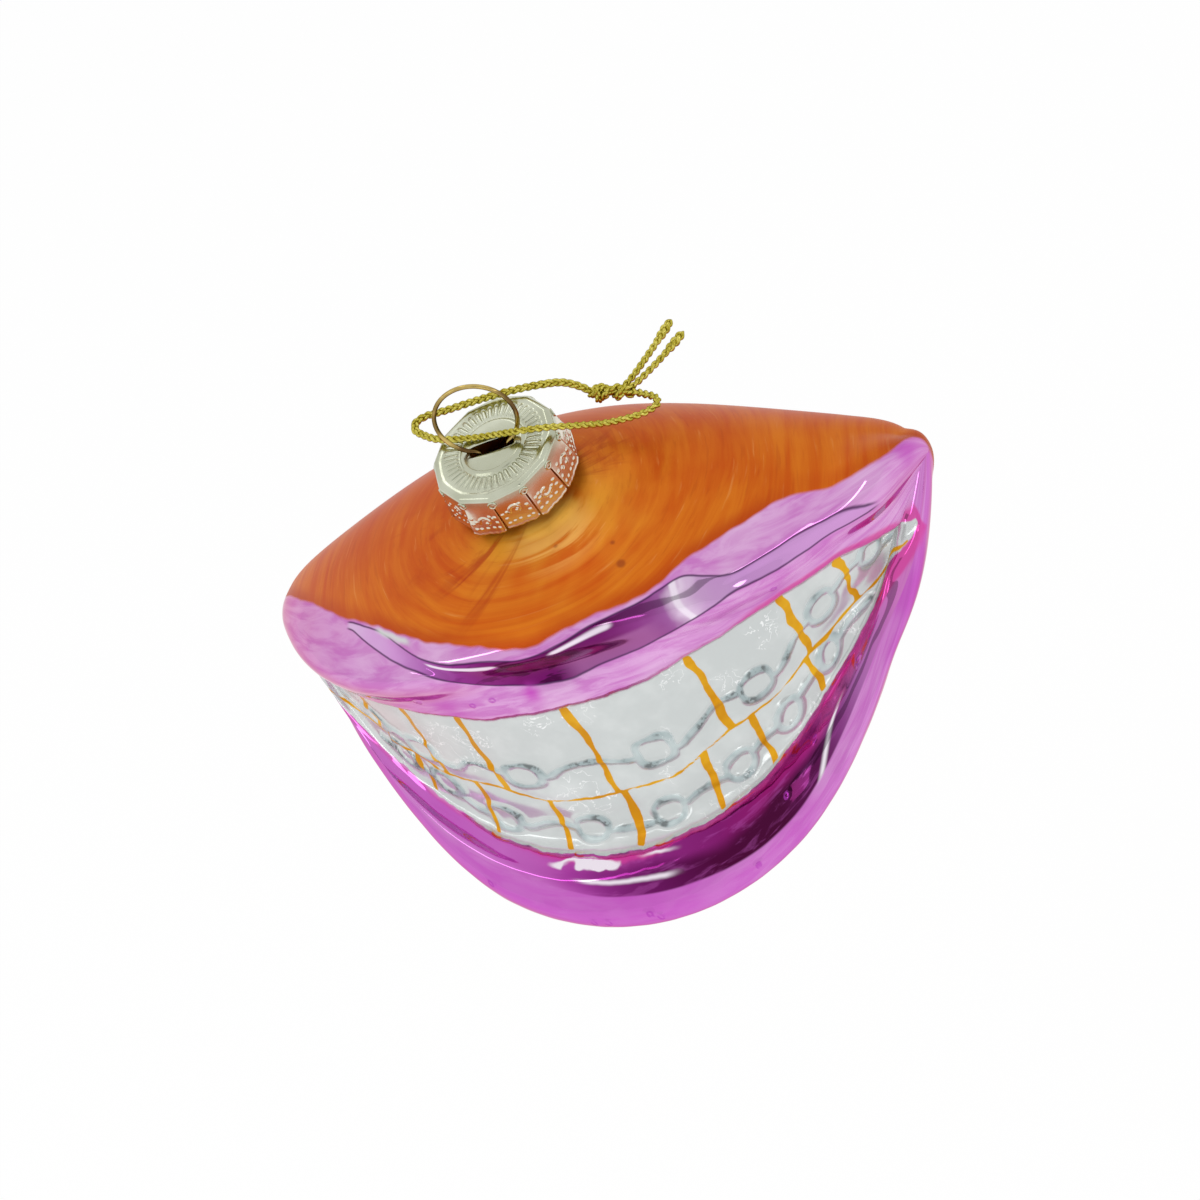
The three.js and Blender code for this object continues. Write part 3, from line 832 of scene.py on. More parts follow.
def rounded_end(size):
    """Swell of the mouth's corners, round at the very ends of the skin."""
    past = np.clip((size - CORNER["widest"]) / (HALF_WIDTH - CORNER["widest"]), 0, 1)
    return soft_step(CORNER["start"], CORNER["widest"], size) * np.sqrt(1 - past**2)


def cheek_relief(place, across, sunk):
    """The fuller corners, the longer tip on the +X side and the cheek drawn in on the other."""
    cheek = soft_step(2.2, 3.3, place) * (1 - soft_step(12.5, 14.5, place))
    swell = np.where(across > 0, 1.7 + 1.6 * hump(3.9, 1.2, place), 0.3)
    tip, very_end = soft_step(42, 50.5, across), soft_step(49.4, 51.1, across)
    fuller = swell * rounded_end(np.abs(across)) * cheek * (1 - 0.6 * sunk) * (1 - tip)
    longer = LONGER_TIP * tip * ((0.2 + 0.8 * cheek) * (1 - very_end) + very_end)
    drawn_in = soft_step(22, 42, -across) * (1 - soft_step(48.5, 51, -across))
    return fuller + longer - 1.7 * drawn_in * hump(11.8, 2.2, place) * (1 - sunk)


print("swell 30, 45 and 50 mm out", rounded_end(np.array([30.0, 45.0, 50.0])).round(2))

# %% [markdown]
# Each tooth bulges between its gaps, the brackets and wires stand proud of the teeth, and small
# bubbles in the lacquer leave rings. The amber was brushed into the gaps by hand, so it is thicker
# at the gum and wavers. All of these are distances to a line or to a point.

# %% Relief of the teeth
BUBBLES = [
    (-9.5, 11.0), (-7.3, 11.0), (-0.5, 10.85), (0.9, 11.0), (17, 10.95), (24, 10.2), (29.5, 9.75),
    (-24, 10.65), (-12, 5.2), (-8.6, 5.15), (-20.5, 4.9), (33, 4.7), (37.5, 9.7),
]
BUBBLE = {"radius": 0.42, "stroke": 0.2}


def tooth_gaps(smile, place, across, per_place, per_across):
    """Millimetres to the nearest gap in a point's own row, and to the line between the rows."""
    upper = gap_distance(UPPER_GAPS, place, across, per_across)
    lower = gap_distance(LOWER_GAPS, place, across, per_across)
    return np.where(place < smile["row"], upper, lower), np.abs(place - smile["row"]) * per_place


def braces_cover(*grid):
    """Millimetres inside the braces' strokes, and how far inside a bracket a point is."""
    rings, inside = bracket_cover(*grid)
    return np.where(inside > 0.5, rings, np.maximum(rings, wire_cover(*grid))), inside


def bubble_cover(place, across, per_place, per_across):
    """Millimetres inside the ring of the nearest bubble."""
    stroke = np.full(place.shape, FAR_OUTSIDE)
    for middle, level in BUBBLES:
        away = np.hypot((across - middle) * per_across, (place - level) * per_place)
        stroke = np.maximum(stroke, BUBBLE["stroke"] - np.abs(away - BUBBLE["radius"]))
    return stroke


def amber_cover(smile, gap, row_gap, place, across, per_place, per_across):
    """Millimetres inside the amber brushed between the teeth and between their rows."""
    size = np.abs(across)
    gum = 0.25 * hump(smile["top"] + 0.25, 0.22, place)
    thick = 0.58 + 0.22 * hand_wobble(2.6 * place + 0.2 * across, 1.0) + gum
    thin = 1 - 0.25 * soft_step(-8, 25, -across)
    reach = inside_band(smile["top"] + 0.02, smile["foot"] - 0.1, place, per_place)
    by_gap = np.minimum(np.minimum(thick * thin - gap, reach), (42.5 - size) * per_across)
    by_row = np.minimum(0.2 + 0.09 * hand_wobble(0.6 * across, 3.3) - row_gap, (47.0 - size) * per_across)
    return np.maximum(by_gap, by_row)


print(len(BUBBLES), "bubbles")

# %% [markdown]
# Now the parts of the relief are added up. Where a point lies on the teeth, the lip's relief gives
# way to the tooth's. What the material reads is handed on with the height, from the same lines, so
# paint and relief can't drift apart.

# %% Relief and paint


def relief_and_paint(*grid):
    """Height in millimetres of the relief, and what the glass material reads."""
    place, across = grid[:2]
    smile = smile_at(*grid)
    gap, row_gap = tooth_gaps(smile, *grid)
    braces, inside = braces_cover(*grid)
    bubbles = bubble_cover(*grid)
    sunk = soft_step(-0.8, 0.7, smile["teeth"])
    tooth = 0.16 * (1 - hump(0, 1.6, gap)) * (1 - hump(0, 1.5, row_gap)) - 0.55
    tooth = tooth * (1 - 0.8 * soft_step(38, 47, np.abs(across)))
    tooth = tooth + 0.42 * soft_step(-0.5, 0.5, braces) + 0.12 * inside
    height = lip_relief(smile, place, across) * (1 - sunk) + tooth * sunk
    height = height + 0.16 * soft_step(-0.25, 0.2, bubbles) + cheek_relief(place, across, sunk)
    cover = {name: smile[name] for name in ("lip", "teeth", "fold", "deep", "shelf")}
    cover["amber"] = amber_cover(smile, gap, row_gap, *grid)
    cover.update(braces=braces, bubbles=bubbles, place=place, across=across)
    return height, cover


one_point = [np.array([value]) for value in (7.41, 8.7, 8.0, 1.0)]
bracket_height = relief_and_paint(*one_point)[0][0]
print("the middle of a bracket lies at", round(float(bracket_height), 2), "mm from the plain skin")

# %% [markdown]
# The grid is drawn finely where the relief is, and coarsely over the smooth back. An even grid as
# fine as the teeth need would be half as heavy again. Where the neck leaves the dome the skin is
# left open, and the neck's own wall covers that edge.

# %% Build the glass
SKIN_PLACES = np.concatenate([np.arange(0, 3.1, 0.1), np.arange(3.1, 10.9, 0.036), np.arange(10.9, 16, 0.1)])
SKIN_TURNS = np.linspace(-math.pi / 2, math.pi / 2, 482)[1:-1]
NECK = {"radius": 8.2, "wall": 1.1, "height": 6.95, "root": -2.5}


def skin_faces(rows, columns, points):
    """Quads of a grid that closes on itself one way, with fans at the two corners."""
    index = np.arange(rows * columns).reshape(rows, columns)
    following = np.roll(index, -1, axis=0)
    corners = [index[:, :-1], following[:, :-1], following[:, 1:], index[:, 1:]]
    quads = np.stack(corners, axis=-1).reshape(-1, 4)
    middle = points[quads].mean(axis=1)
    open_neck = (np.hypot(middle[:, 0], middle[:, 1]) < NECK["radius"] - 0.5) & (middle[:, 2] > -8)
    left, right = rows * columns, rows * columns + 1
    fans = [(left, int(b), int(a)) for a, b in zip(index[:, 0], following[:, 0])]
    fans += [(right, int(a), int(b)) for a, b in zip(index[:, -1], following[:, -1])]
    return [tuple(quad) for quad in quads[~open_neck].tolist()] + fans


def add_skin():
    place, across, points, normal, per_place, per_across = skin_grid(SKIN_PLACES, SKIN_TURNS)
    height, cover = relief_and_paint(place, across, per_place, per_across)
    points = points + height[..., None] * normal
    corners = skin_point(np.zeros(2), np.array([-HALF_WIDTH, HALF_WIDTH])) + [[0, 0, 0], [LONGER_TIP, 0, 0]]
    flat = np.vstack([points.reshape(-1, 3), corners])
    skin = add_piece("blown_lips", "glass", "silvered_glass", flat, skin_faces(*place.shape, flat))
    for name, values in cover.items():
        values = np.concatenate([values.ravel(), values[0, :1], values[0, -1:]]).astype(np.float32)
        skin.data.attributes.new(name, "FLOAT", "POINT").data.foreach_set("value", values)
    return skin


skin = add_skin()

# %% [markdown]
# The neck is drawn out of the same glass. It has a wall, because its bore can be seen through the
# slot of the cap. It could be swept with the skin, but it is round, so a profile turned round its
# axis gives it more simply, with a flare at the foot that meets the dome.

# %% Neck
NECK_FLARE = 1.3
NECK_LIP = 0.35


def lathe(profile, segments):
    """A closed profile of radius and height, turned round the neck's axis."""
    angle = np.linspace(0, 2 * math.pi, segments, endpoint=False)
    radius, height = np.array(profile).T
    points = np.stack([
        radius[:, None] * np.cos(angle), radius[:, None] * np.sin(angle), height[:, None] + 0 * angle,
    ], axis=-1)
    rows = len(profile)
    faces = []
    for i in range(rows):
        for j in range(segments):
            a, b = i * segments + j, i * segments + (j + 1) % segments
            c, d = ((i + 1) % rows) * segments + (j + 1) % segments, ((i + 1) % rows) * segments + j
            faces.append((a, b, c, d))
    return points.reshape(-1, 3), faces


def add_neck():
    outer, inner = NECK["radius"], NECK["radius"] - NECK["wall"]
    bend = np.linspace(0, math.pi / 2, 8)
    flare = [(outer + NECK_FLARE * (1 - math.sin(a)), -1.2 + 1.6 * (1 - math.cos(a))) for a in bend]
    lip_out, lip_up = outer - NECK_LIP, NECK["height"] - NECK_LIP
    lip = [(lip_out + NECK_LIP * math.cos(a), lip_up + NECK_LIP * math.sin(a)) for a in bend[::2]]
    profile = [(inner, NECK["root"]), (outer + NECK_FLARE, NECK["root"])] + flare + lip
    return add_piece("glass_neck", "glass", "silvered_glass", *lathe(profile + [(inner, NECK["height"])], 96))


neck = add_neck()
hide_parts("glass_body")

# %% [markdown]
# A material could be wired by hand, node by node, but its sense is then hard to read. Here it is
# written as sums and products of sockets. One small class wraps a socket, so that a mask times a
# number adds the node that does it, and its node method makes every other node.

# %% Sockets as numbers


class Signal:
    """A socket of a node tree; its operators add Math or Vector Math nodes."""

    def __init__(self, tree, socket=None):
        self.tree = tree
        self.socket = socket

    def node(self, kind, settings=None, inputs=None, output=0):
        """Adds a node: its settings first, then its sockets, and wraps one of its outputs."""
        made = self.tree.nodes.new(kind)
        for name, value in (settings or {}).items():
            if name == "stops":
                fill_ramp(made.color_ramp, value)
            else:
                setattr(made, name, value)
        for key, value in (inputs or {}).items():
            if isinstance(value, Signal):
                self.tree.links.new(value.socket, made.inputs[key])
            else:
                made.inputs[key].default_value = value
        return Signal(self.tree, made.outputs[output] if len(made.outputs) else None)

    def combine(self, operation, first, second):
        """Math for numbers and Vector Math for the rest, because a Math node turns a colour grey."""
        if self.socket.type == "VALUE":
            return self.node("ShaderNodeMath", {"operation": operation}, {0: first, 1: second})
        terms = [(value,) * 3 if isinstance(value, (int, float)) else value for value in (first, second)]
        return self.node("ShaderNodeVectorMath", {"operation": operation}, {0: terms[0], 1: terms[1]})

    def __add__(self, other):
        return self.combine("ADD", self, other)

    def __radd__(self, other):
        return self.combine("ADD", other, self)

    def __sub__(self, other):
        return self.combine("SUBTRACT", self, other)

    def __rsub__(self, other):
        return self.combine("SUBTRACT", other, self)

    def __mul__(self, other):
        return self.combine("MULTIPLY", self, other)

    def __rmul__(self, other):
        return self.combine("MULTIPLY", other, self)

    def between(self, low, high):
        """0 at low, 1 at high, smooth between them and held outside."""
        inputs = {0: self, 1: low, 2: high, 3: 0.0, 4: 1.0}
        return self.node("ShaderNodeMapRange", {"interpolation_type": "SMOOTHSTEP"}, inputs)

    def near(self, middle, width):
        """1 at a middle value, falling smoothly to 0 a width away on both sides."""
        away = self.node("ShaderNodeMath", {"operation": "ABSOLUTE"}, {0: self - middle})
        return 1.0 - away.between(0.0, width)

    def ramp(self, stops):
        """A colour for each value from 0 to 1."""
        return self.node("ShaderNodeValToRGB", {"stops": stops}, {0: self})

    def blend(self, first, second):
        """The first colour where this value is 0 and the second where it is 1."""
        return self.node("ShaderNodeMix", {"data_type": "RGBA"}, {0: self, 6: first, 7: second}, 2)


def fill_ramp(ramp, stops):
    while len(ramp.elements) < len(stops):
        ramp.elements.new(0.5)
    for element, (position, colour) in zip(ramp.elements, stops):
        element.position = position
        element.color = colour


def shade(code):
    """A colour as it shows on a screen, #rrggbb, as the linear colour that shaders use."""
    parts = [int(code[i:i + 2], 16) / 255 for i in (1, 3, 5)]
    return tuple(p / 12.92 if p <= 0.04045 else ((p + 0.055) / 1.055) ** 2.4 for p in parts) + (1.0,)


print("middle grey on a screen is", round(shade("#808080")[0], 3), "as light")

# %% [markdown]
# Every finish of the ornament ends in one Principled shader and starts from the object's own
# coordinates, which stay put when the bodies move. Noise makes brushwork and metal uneven, and the
# numbers kept on the skin say where each paint lies.

# %% Helpers for finishes


def new_finish(name):
    """An empty material and the signal that its nodes start from."""
    material = bpy.data.materials.new(name)
    material.use_nodes = True
    material.node_tree.nodes.clear()
    return material, Signal(material.node_tree)


def close_finish(start, **sockets):
    """Ends a material in one Principled shader; sockets are named in short."""
    names = {"color": "Base Color", "rough": "Roughness", "metal": "Metallic", "normal": "Normal",
             "specular": "Specular IOR Level", "edge": "Specular Tint"}
    shader = start.node("ShaderNodeBsdfPrincipled", {}, {names[key]: value for key, value in sockets.items()})
    start.node("ShaderNodeOutputMaterial", {}, {0: shader})


def own_coordinates(start):
    """Where a point is in its own object, in metres."""
    return start.node("ShaderNodeTexCoord", {}, {}, "Object")


def noise(start, vector, scale, detail=2.0, rough=0.5, distortion=0.0):
    inputs = {
        "Vector": vector, "Scale": scale, "Detail": detail, "Roughness": rough, "Distortion": distortion,
    }
    return start.node("ShaderNodeTexNoise", {}, inputs)


def kept(start, name):
    """A number kept on the mesh under a name."""
    return start.node("ShaderNodeAttribute", {"attribute_name": name}, {}, "Fac")


def wear(finish, *pieces):
    """Puts a finish on pieces and says how many nodes it took."""
    for piece in pieces:
        piece.data.materials.append(finish)
    print(finish.name, len(finish.node_tree.nodes), "nodes")


print("numbers kept on the skin:", sum(item.data_type == "FLOAT" for item in skin.data.attributes))

# %% [markdown]
# The painted glass has three looks on one mirror. The lips are a clear magenta lacquer, so they
# stay mirrors and their colour is the mirror's. Under the teeth the lower lip is painted dark towards
# its rim, a painted reflection of the dark that its shelf faces, with painted highlights broken up
# over it. An image could hold those painted reflections, but stripes drawn along the same lines keep
# their edges at any distance.

# %% Shelf of the lower lip
SHELF_BY_TEETH = [
    (-45, "#cf7ccb"), (-30, "#c863c3"), (-20, "#ca6cc5"), (-10, "#ba4cad"), (-3, "#a83a92"), (4, "#8f2a80"),
    (12, "#852070"), (22, "#971e70"), (28, "#a82880"), (32, "#d255a8"), (38, "#d868b4"), (46, "#d07cc4"),
]
# Painted dark reflection: the shelf's colours by its rim, near black right of the middle.
SHELF_LACQUER_AND_REFLECTION_BY_RIM = [
    (-45, "#cf7ccb"), (-30, "#c863c3"), (-20, "#ca6cc5"), (-10, "#ab40a3"), (-4, "#8e2c85"), (3, "#6e1a62"),
    (10, "#4f0e3c"), (24, "#4b1138"), (29, "#5c1a50"), (33, "#8a3f86"), (38, "#b06cb0"), (46, "#d07cc4"),
]


def across_ramp(across, shades):
    """Colours along the smile, given at distances from its middle."""
    low, high = shades[0][0], shades[-1][0]
    share = (across - low) * (1 / (high - low))
    return share.ramp([((x - low) / (high - low), shade(code)) for x, code in shades])


def shelf_colour(shelf, across, streak, cloud):
    """Magenta lacquer by the teeth, with a painted dark reflection that turns it near black at the rim."""
    shifted = across + (cloud - 0.5) * 10.0
    to_rim = (shelf + (cloud - 0.5) * 0.8).between(0.3, 0.66)
    colour = to_rim.blend(across_ramp(shifted, SHELF_BY_TEETH), across_ramp(shifted, SHELF_LACQUER_AND_REFLECTION_BY_RIM))
    return (streak.between(0.52, 0.66) * 0.3).blend(colour, shade("#c05ab8"))


def shelf_glints(shelf, across, cloud, wave):
    """Painted highlights: a bright line along the shelf, broken lace by the teeth and one bright spot."""
    line = (shelf + (cloud - 0.5) * 0.3).near(0.74, 0.09) * across.near(-2.0, 10.0).between(0.0, 0.4)
    lace = (shelf + (cloud - 0.5) * 0.8 + (wave - 0.5) * 0.3).near(0.38, 0.26) * across.near(-8.0, 9.0)
    spot = (shelf + (cloud - 0.5) * 0.6).near(0.2, 0.07) * across.near(3.5, 4.0)
    return line + lace.between(0.2, 0.45) * wave.between(0.56, 0.5) + spot


print(len(SHELF_LACQUER_AND_REFLECTION_BY_RIM), "colours along the rim")

# %% [markdown]
# The laughter line over the upper teeth is a fold. Its colours are painted reflections over the
# lacquer: dark plum in its middle and lilac at its ends, with long painted highlights lying along
# it. The colours run along the smile, and its own depth places the painted highlights.

# %% Fold of the upper lip
# Painted reflections over the lacquer: plum where the fold mirrors the dark, a painted highlight at 23.5 mm.
FOLD_LACQUER_AND_REFLECTIONS = [
    (-29, "#e3bfe8"), (-21, "#d99edd"), (-16, "#b96fbd"), (-11, "#94388f"), (-4, "#7a1c6c"), (4, "#6a1560"),
    (12, "#75206a"), (17, "#8e3d88"), (21, "#a05fa0"), (23.5, "#e6cfe8"), (26, "#caa0ce"), (31, "#c48fcb"),
    (38, "#cd97d2"), (46, "#d29ad6"),
]


def fold_colour(deep, across, streak, wave):
    """Painted reflections along the fold: dark plum and lilac, with painted highlights lying in it."""
    colour = across_ramp(across + (wave - 0.5) * 5.0, FOLD_LACQUER_AND_REFLECTIONS)
    # Painted dark reflection: near-black streaks along the fold's middle.
    dark = streak.between(0.54, 0.6) * across.near(0.0, 17.0)
    colour = (dark * 0.8).blend(colour, shade("#3b0b32"))
    lilac = deep.between(0.42, 0.58) * across.between(2.0, 7.0) * across.between(20.5, 17.0)
    colour = (lilac * 0.7).blend(colour, shade("#ab69a4"))
    # Painted highlights lying along the fold.
    shine = deep.near(0.24, 0.16) * across.near(-9.5, 7.5).between(0.0, 0.35)
    shine = shine + deep.near(0.12, 0.12) * across.near(9.0, 7.0).between(0.0, 0.4) * 0.9
    shine = shine + (across - deep * 1.2).near(22.6, 0.9)
    return (shine * 0.95).between(0.15, 0.85).blend(colour, shade("#f4e6f6"))


print(len(FOLD_LACQUER_AND_REFLECTIONS), "colours along the fold")

# %% [markdown]
# The rolls of both lips are streaky lilac, pinker by the teeth, with painted shade as a dark line
# round the fold, one worn patch and the rings of small bubbles. Each is laid over the last, as a
# painter would, with a mask that says how much of it shows.

# %% Lacquer of the lips
WORN_PATCH = -20.5


def pink_by_teeth(teeth, place, across, cloud):
    """How pink the lacquer is round the teeth, most at the +X corner and below them at -X."""
    corner = teeth.near(-0.9, 1.7) * across.between(24.0, 34.0) * across.between(47.2, 45.0)
    lower_left = (teeth + (cloud - 0.5) * 3.0).near(-0.6, 1.1) * place.between(8.7, 9.0)
    return corner + teeth.near(-0.3, 0.9) * 0.5 + lower_left * across.between(-24.0, 0.0)


def lip_colour(start, where, lip, teeth):
    """Magenta lacquer, lilac and streaky on the rolls, with painted reflections in the fold and on the lower
    shelf.
    """
    fold, deep, shelf = kept(start, "fold"), kept(start, "deep"), kept(start, "shelf")
    place, across = kept(start, "place"), kept(start, "across")
    brushed = start.node("ShaderNodeCombineXYZ", {}, {0: across * 0.05, 1: place * 1.6, 2: 0.0})
    streak = noise(start, brushed, 3.0, 4.0, 0.6, 0.6)
    cloud = noise(start, where, 60.0, 2.0)
    wave = noise(start, where, 230.0, 2.0)
    colour = streak.between(0.36, 0.66).blend(shade("#dfa6dc"), shade("#cf80ca"))
    colour = (cloud.between(0.52, 0.72) * 0.85).blend(colour, shade("#c454bf"))
    colour = (cloud.between(0.46, 0.3) * 0.4).blend(colour, shade("#ebcbe9"))
    rim_tint = place.between(9.6, 10.4) * (0.8 - across.between(6.0, 30.0) * 0.45)
    colour = rim_tint.blend(colour, shade("#cb5cc8"))

    low_rim = shelf.between(0.7, 1.15)
    low_rim = low_rim + (shelf.between(0.985, 1.035) - low_rim) * across.between(-18.0, -3.0)
    ledge = (shelf + (wave - 0.5) * 0.16).between(0.02, 0.12) * (1.0 - low_rim)
    on_ledge = ledge * shelf.between(1.3, 1.25) * shelf.between(-0.1, 0.0)
    # Painted dark reflection on the lower lip's shelf, over its magenta lacquer.
    colour = on_ledge.blend(colour, shelf_colour(shelf, across, streak, cloud))
    pink = pink_by_teeth(teeth, place, across, cloud)
    colour = (pink.between(0.0, 0.9) * 0.8).blend(colour, shade("#d8459f"))
    # Painted highlights broken up over the shelf.
    colour = (shelf_glints(shelf, across, cloud, wave) * ledge).blend(colour, shade("#f6ecf7"))
    # Painted highlight: a white streak down the side of the shelf near the +X end.
    side = (across - 31.5 - (0.75 - shelf) * 9.0).near(0.0, 1.1)
    side = side * shelf.between(0.42, 0.55) * shelf.between(1.06, 0.98)
    colour = side.blend(colour, shade("#f8f1f9"))

    in_span = across.between(-30.2, -29.2) * across.between(46.2, 45.0)
    band = fold.between(-0.08, 0.12) * in_span
    # Painted reflections in the fold, over the lacquer.
    colour = band.blend(colour, fold_colour(deep, across, streak, wave))
    # Painted shade: a dark line along both creased edges of the fold.
    fold_edge_shade = (fold + (wave - 0.5) * 0.3).near(-0.02, 0.3) * in_span
    colour = (fold_edge_shade * 0.85).blend(colour, shade("#3a1748"))
    bare = (lip + (wave - 0.5) * 0.8).near(0.75, 0.9) * across.near(WORN_PATCH, 4.5).between(0.0, 0.5)
    colour = (bare * 0.85).blend(colour, shade("#dde6df"))
    drop = (deep + (wave - 0.5) * 0.6).near(1.25, 0.45) * across.near(-2.5, 2.2)
    colour = (drop * 0.8).blend(colour, shade("#c944c0"))
    rings = kept(start, "bubbles").between(-0.05, 0.1)
    return (rings * 0.6).blend(colour, shade("#b53fb8"))


print("the worn patch is", WORN_PATCH, "mm along the smile")

# %% [markdown]
# The orange was brushed on thickly and is satin, with strokes that sweep round the neck. It could be
# plain noise, but real strokes follow the hand. So the noise is read along the heading and the
# distance from the neck, which bends it into arcs. A painted gold highlight with a brighter streak in
# front of the neck, three redder smears and a few brown specks are set where the photograph has them.

# %% Orange lacquer
STROKE_MIDDLE = (3.0, -2.0, 0.0)
# Painted highlight on the satin orange in front of the neck: its middle, and the two ends of its streak.
GOLD_HIGHLIGHT = (6.0, -11.0, -1.0)
GOLD_HIGHLIGHT_STREAK = [(2.4, -10.1, 0.0), (8.4, -6.2, 0.0)]
RED_SMEARS = [
    ((-3.0, -15.0, -3.0), 12.0, 0.75), ((12.0, 2.5, -0.5), 7.0, 0.7), ((-18.0, -6.0, -4.0), 10.0, 0.5),
]
SPECKS = [((16.0, -17.7, -2.7), 0.9), ((14.75, -14.1, -2.3), 0.6), ((6.6, -13.4, -1.0), 0.6)]


def distance_to(start, where, point):
    """Distance in metres from a point given in millimetres in the drawing frame."""
    settings = {"operation": "DISTANCE"}
    return start.node("ShaderNodeVectorMath", settings, {0: where, 1: tuple(placed(point))}, "Value")


def along_stroke(start, heading, turn, radius, pace):
    """Where noise is read for a stroke: its heading from the neck and its distance from it."""
    outward = start.node("ShaderNodeCombineXYZ", {}, {0: radius * pace, 1: 0.0, 2: 0.0})
    return heading * turn + outward


def orange_colour(start, where, lip):
    """Brushed orange lacquer, red-brown by the lips, with a painted gold highlight in front of the neck."""
    flat = (where - tuple(placed(STROKE_MIDDLE))) * (1.0, 1.0, 0.25)
    radius = start.node("ShaderNodeVectorMath", {"operation": "LENGTH"}, {0: flat}, "Value")
    heading = start.node("ShaderNodeVectorMath", {"operation": "NORMALIZE"}, {0: flat})
    rough_radius = radius + (noise(start, where, 45.0, 1.0) - 0.5) * 0.0024
    sweep = along_stroke(start, heading, 1.3, rough_radius, 520.0)
    stroke = noise(start, sweep, 1.0, 5.0, 0.62, 0.4)
    patch = noise(start, where, 42.0, 3.0, 0.55, 0.4)
    colour = (stroke * 0.6 + patch * 0.4).between(0.34, 0.66).blend(shade("#bf4f06"), shade("#d07216"))
    colour = (noise(start, where, 30.0, 2.0).between(0.5, 0.68) * 0.5).blend(colour, shade("#b74408"))
    # Painted highlight: gold in front of the neck, brighter towards its middle.
    gold = distance_to(start, where, GOLD_HIGHLIGHT)
    colour = (gold.between(0.0165, 0.004) * patch.between(0.32, 0.6)).blend(colour, shade("#d8982c"))
    colour = (gold.between(0.0085, 0.003) * stroke.between(0.38, 0.56) * 0.5).blend(colour, shade("#eec069"))
    # Painted highlight: a bright gold streak beside the cap's skirt.
    ends = [distance_to(start, where, end) for end in GOLD_HIGHLIGHT_STREAK]
    gold_highlight_streak = (ends[0] + ends[1]).between(0.0104, 0.0072) * patch.between(0.25, 0.5)
    colour = (gold_highlight_streak * 0.85).blend(colour, shade("#f3bb4c"))
    hair = noise(start, sweep, 3.4, 2.0, 0.5, 0.2)
    colour = (hair.between(0.62, 0.78) * 0.3).blend(colour, shade("#de9a55"))
    colour = (hair.between(0.42, 0.28) * 0.2).blend(colour, shade("#9c3308"))
    ray = along_stroke(start, heading, 3.6, rough_radius, 80.0)
    smear = noise(start, ray, 1.0, 4.0, 0.6, 0.8).between(0.5, 0.66)
    for middle, reach, strength in RED_SMEARS:
        near = distance_to(start, where, middle).between(reach * MM, 0.3 * reach * MM)
        colour = (near * smear * strength).blend(colour, shade("#a5330a"))
    for middle, reach in SPECKS:
        near = distance_to(start, where, middle).between(reach * MM, 0.4 * reach * MM)
        colour = (near * 0.6).blend(colour, shade("#7d2d14"))
    edge = lip.between(-3.4, -0.3) * patch.between(0.3, 0.55)
    return (edge * 0.75).blend(colour, shade("#ad3a08"))


print(len(RED_SMEARS), "smears and", len(SPECKS), "specks")

# %% [markdown]
# The teeth are bare silver, cloudy and chalky on the braces, with amber lines brushed between them.
# Their glints could come from a fine bump, but painted highlights, bright flecks in the colour, cost
# less and stay where they are. Lips, orange, silver and amber then lie over each other on one shader,
# because they are films on one mirror: only colour, roughness and how metallic it looks change from
# paint to paint.

# %% Painted glass


def bare_silver(start, where, frost, on_braces):
    """Silver of the teeth, with the chalky braces and painted highlights as bright flecks on it."""
    silver = (frost.between(0.4, 0.75) * 0.6).blend(shade("#cbd0cf"), shade("#dfe3e2"))
    grain = noise(start, where, 900.0, 2.0, 0.6)
    paint = frost.between(0.38, 0.6).blend(shade("#99abad"), shade("#c2cfcf"))
    paint = (frost.between(0.46, 0.38) * grain.between(0.45, 0.58)).blend(paint, shade("#465153"))
    silver = (on_braces * 0.8).blend(silver, paint)
    # Painted highlights: small bright flecks on the silver.
    painted_glints = noise(start, where, 330.0, 3.0, 0.6, 0.5).near(0.5, 0.012)
    painted_glints = painted_glints * noise(start, where, 95.0, 1.0).between(0.56, 0.6)
    return (painted_glints * 0.9).blend(silver, shade("#fbfdfd"))


def painted_glass():
    material, start = new_finish("painted glass")
    where = own_coordinates(start)
    wobble = noise(start, where, 420.0, 3.0) - 0.5
    frost = noise(start, where, 140.0, 3.0, 0.6)
    feather = noise(start, where, 130.0, 2.0) - 0.5
    lip, teeth = kept(start, "lip"), kept(start, "teeth")
    on_lip = (lip + wobble * 0.3 + feather * 0.5).between(-0.35, 0.35)
    on_teeth = (teeth + wobble * 0.7).between(-0.1, 0.12)
    on_amber = (kept(start, "amber") + wobble * 0.5).between(-0.06, 0.08) * on_teeth
    on_braces = (kept(start, "braces") + wobble * 0.6).between(-0.18, 0.22) * on_teeth
    colour = on_lip.blend(orange_colour(start, where, lip), lip_colour(start, where, lip, teeth))
    colour = on_teeth.blend(colour, bare_silver(start, where, frost, on_braces))
    colour = on_amber.blend(colour, frost.between(0.4, 0.65).blend(shade("#cc8a07"), shade("#e2ab1e")))
    chalky = teeth.between(-9.0, -4.0) * kept(start, "place").between(9.0, 8.4)
    chalky = chalky * kept(start, "fold").between(0.3, -0.3) * kept(start, "across").between(8.0, 20.0)
    chalky = chalky * on_lip * (1.0 - on_teeth)
    rough = 0.36 - on_lip * 0.29 + on_teeth * 0.1 + on_braces * 0.16 + on_amber * 0.15 + chalky * 0.25
    metal = 0.4 + on_lip * 0.56 - on_teeth * 0.4 - on_amber * 0.4 - on_braces * 0.1 - chalky * 0.8
    close_finish(start, color=colour, rough=rough, metal=metal, specular=0.2, edge=(0.87, 0.6, 0.63, 1))
    return material


wear(painted_glass(), skin)

# %% [markdown]
# The neck under the cap is the dome's orange again, without the strokes, because only a narrow ring
# of it shows below the skirt.

# %% Lacquer of the neck


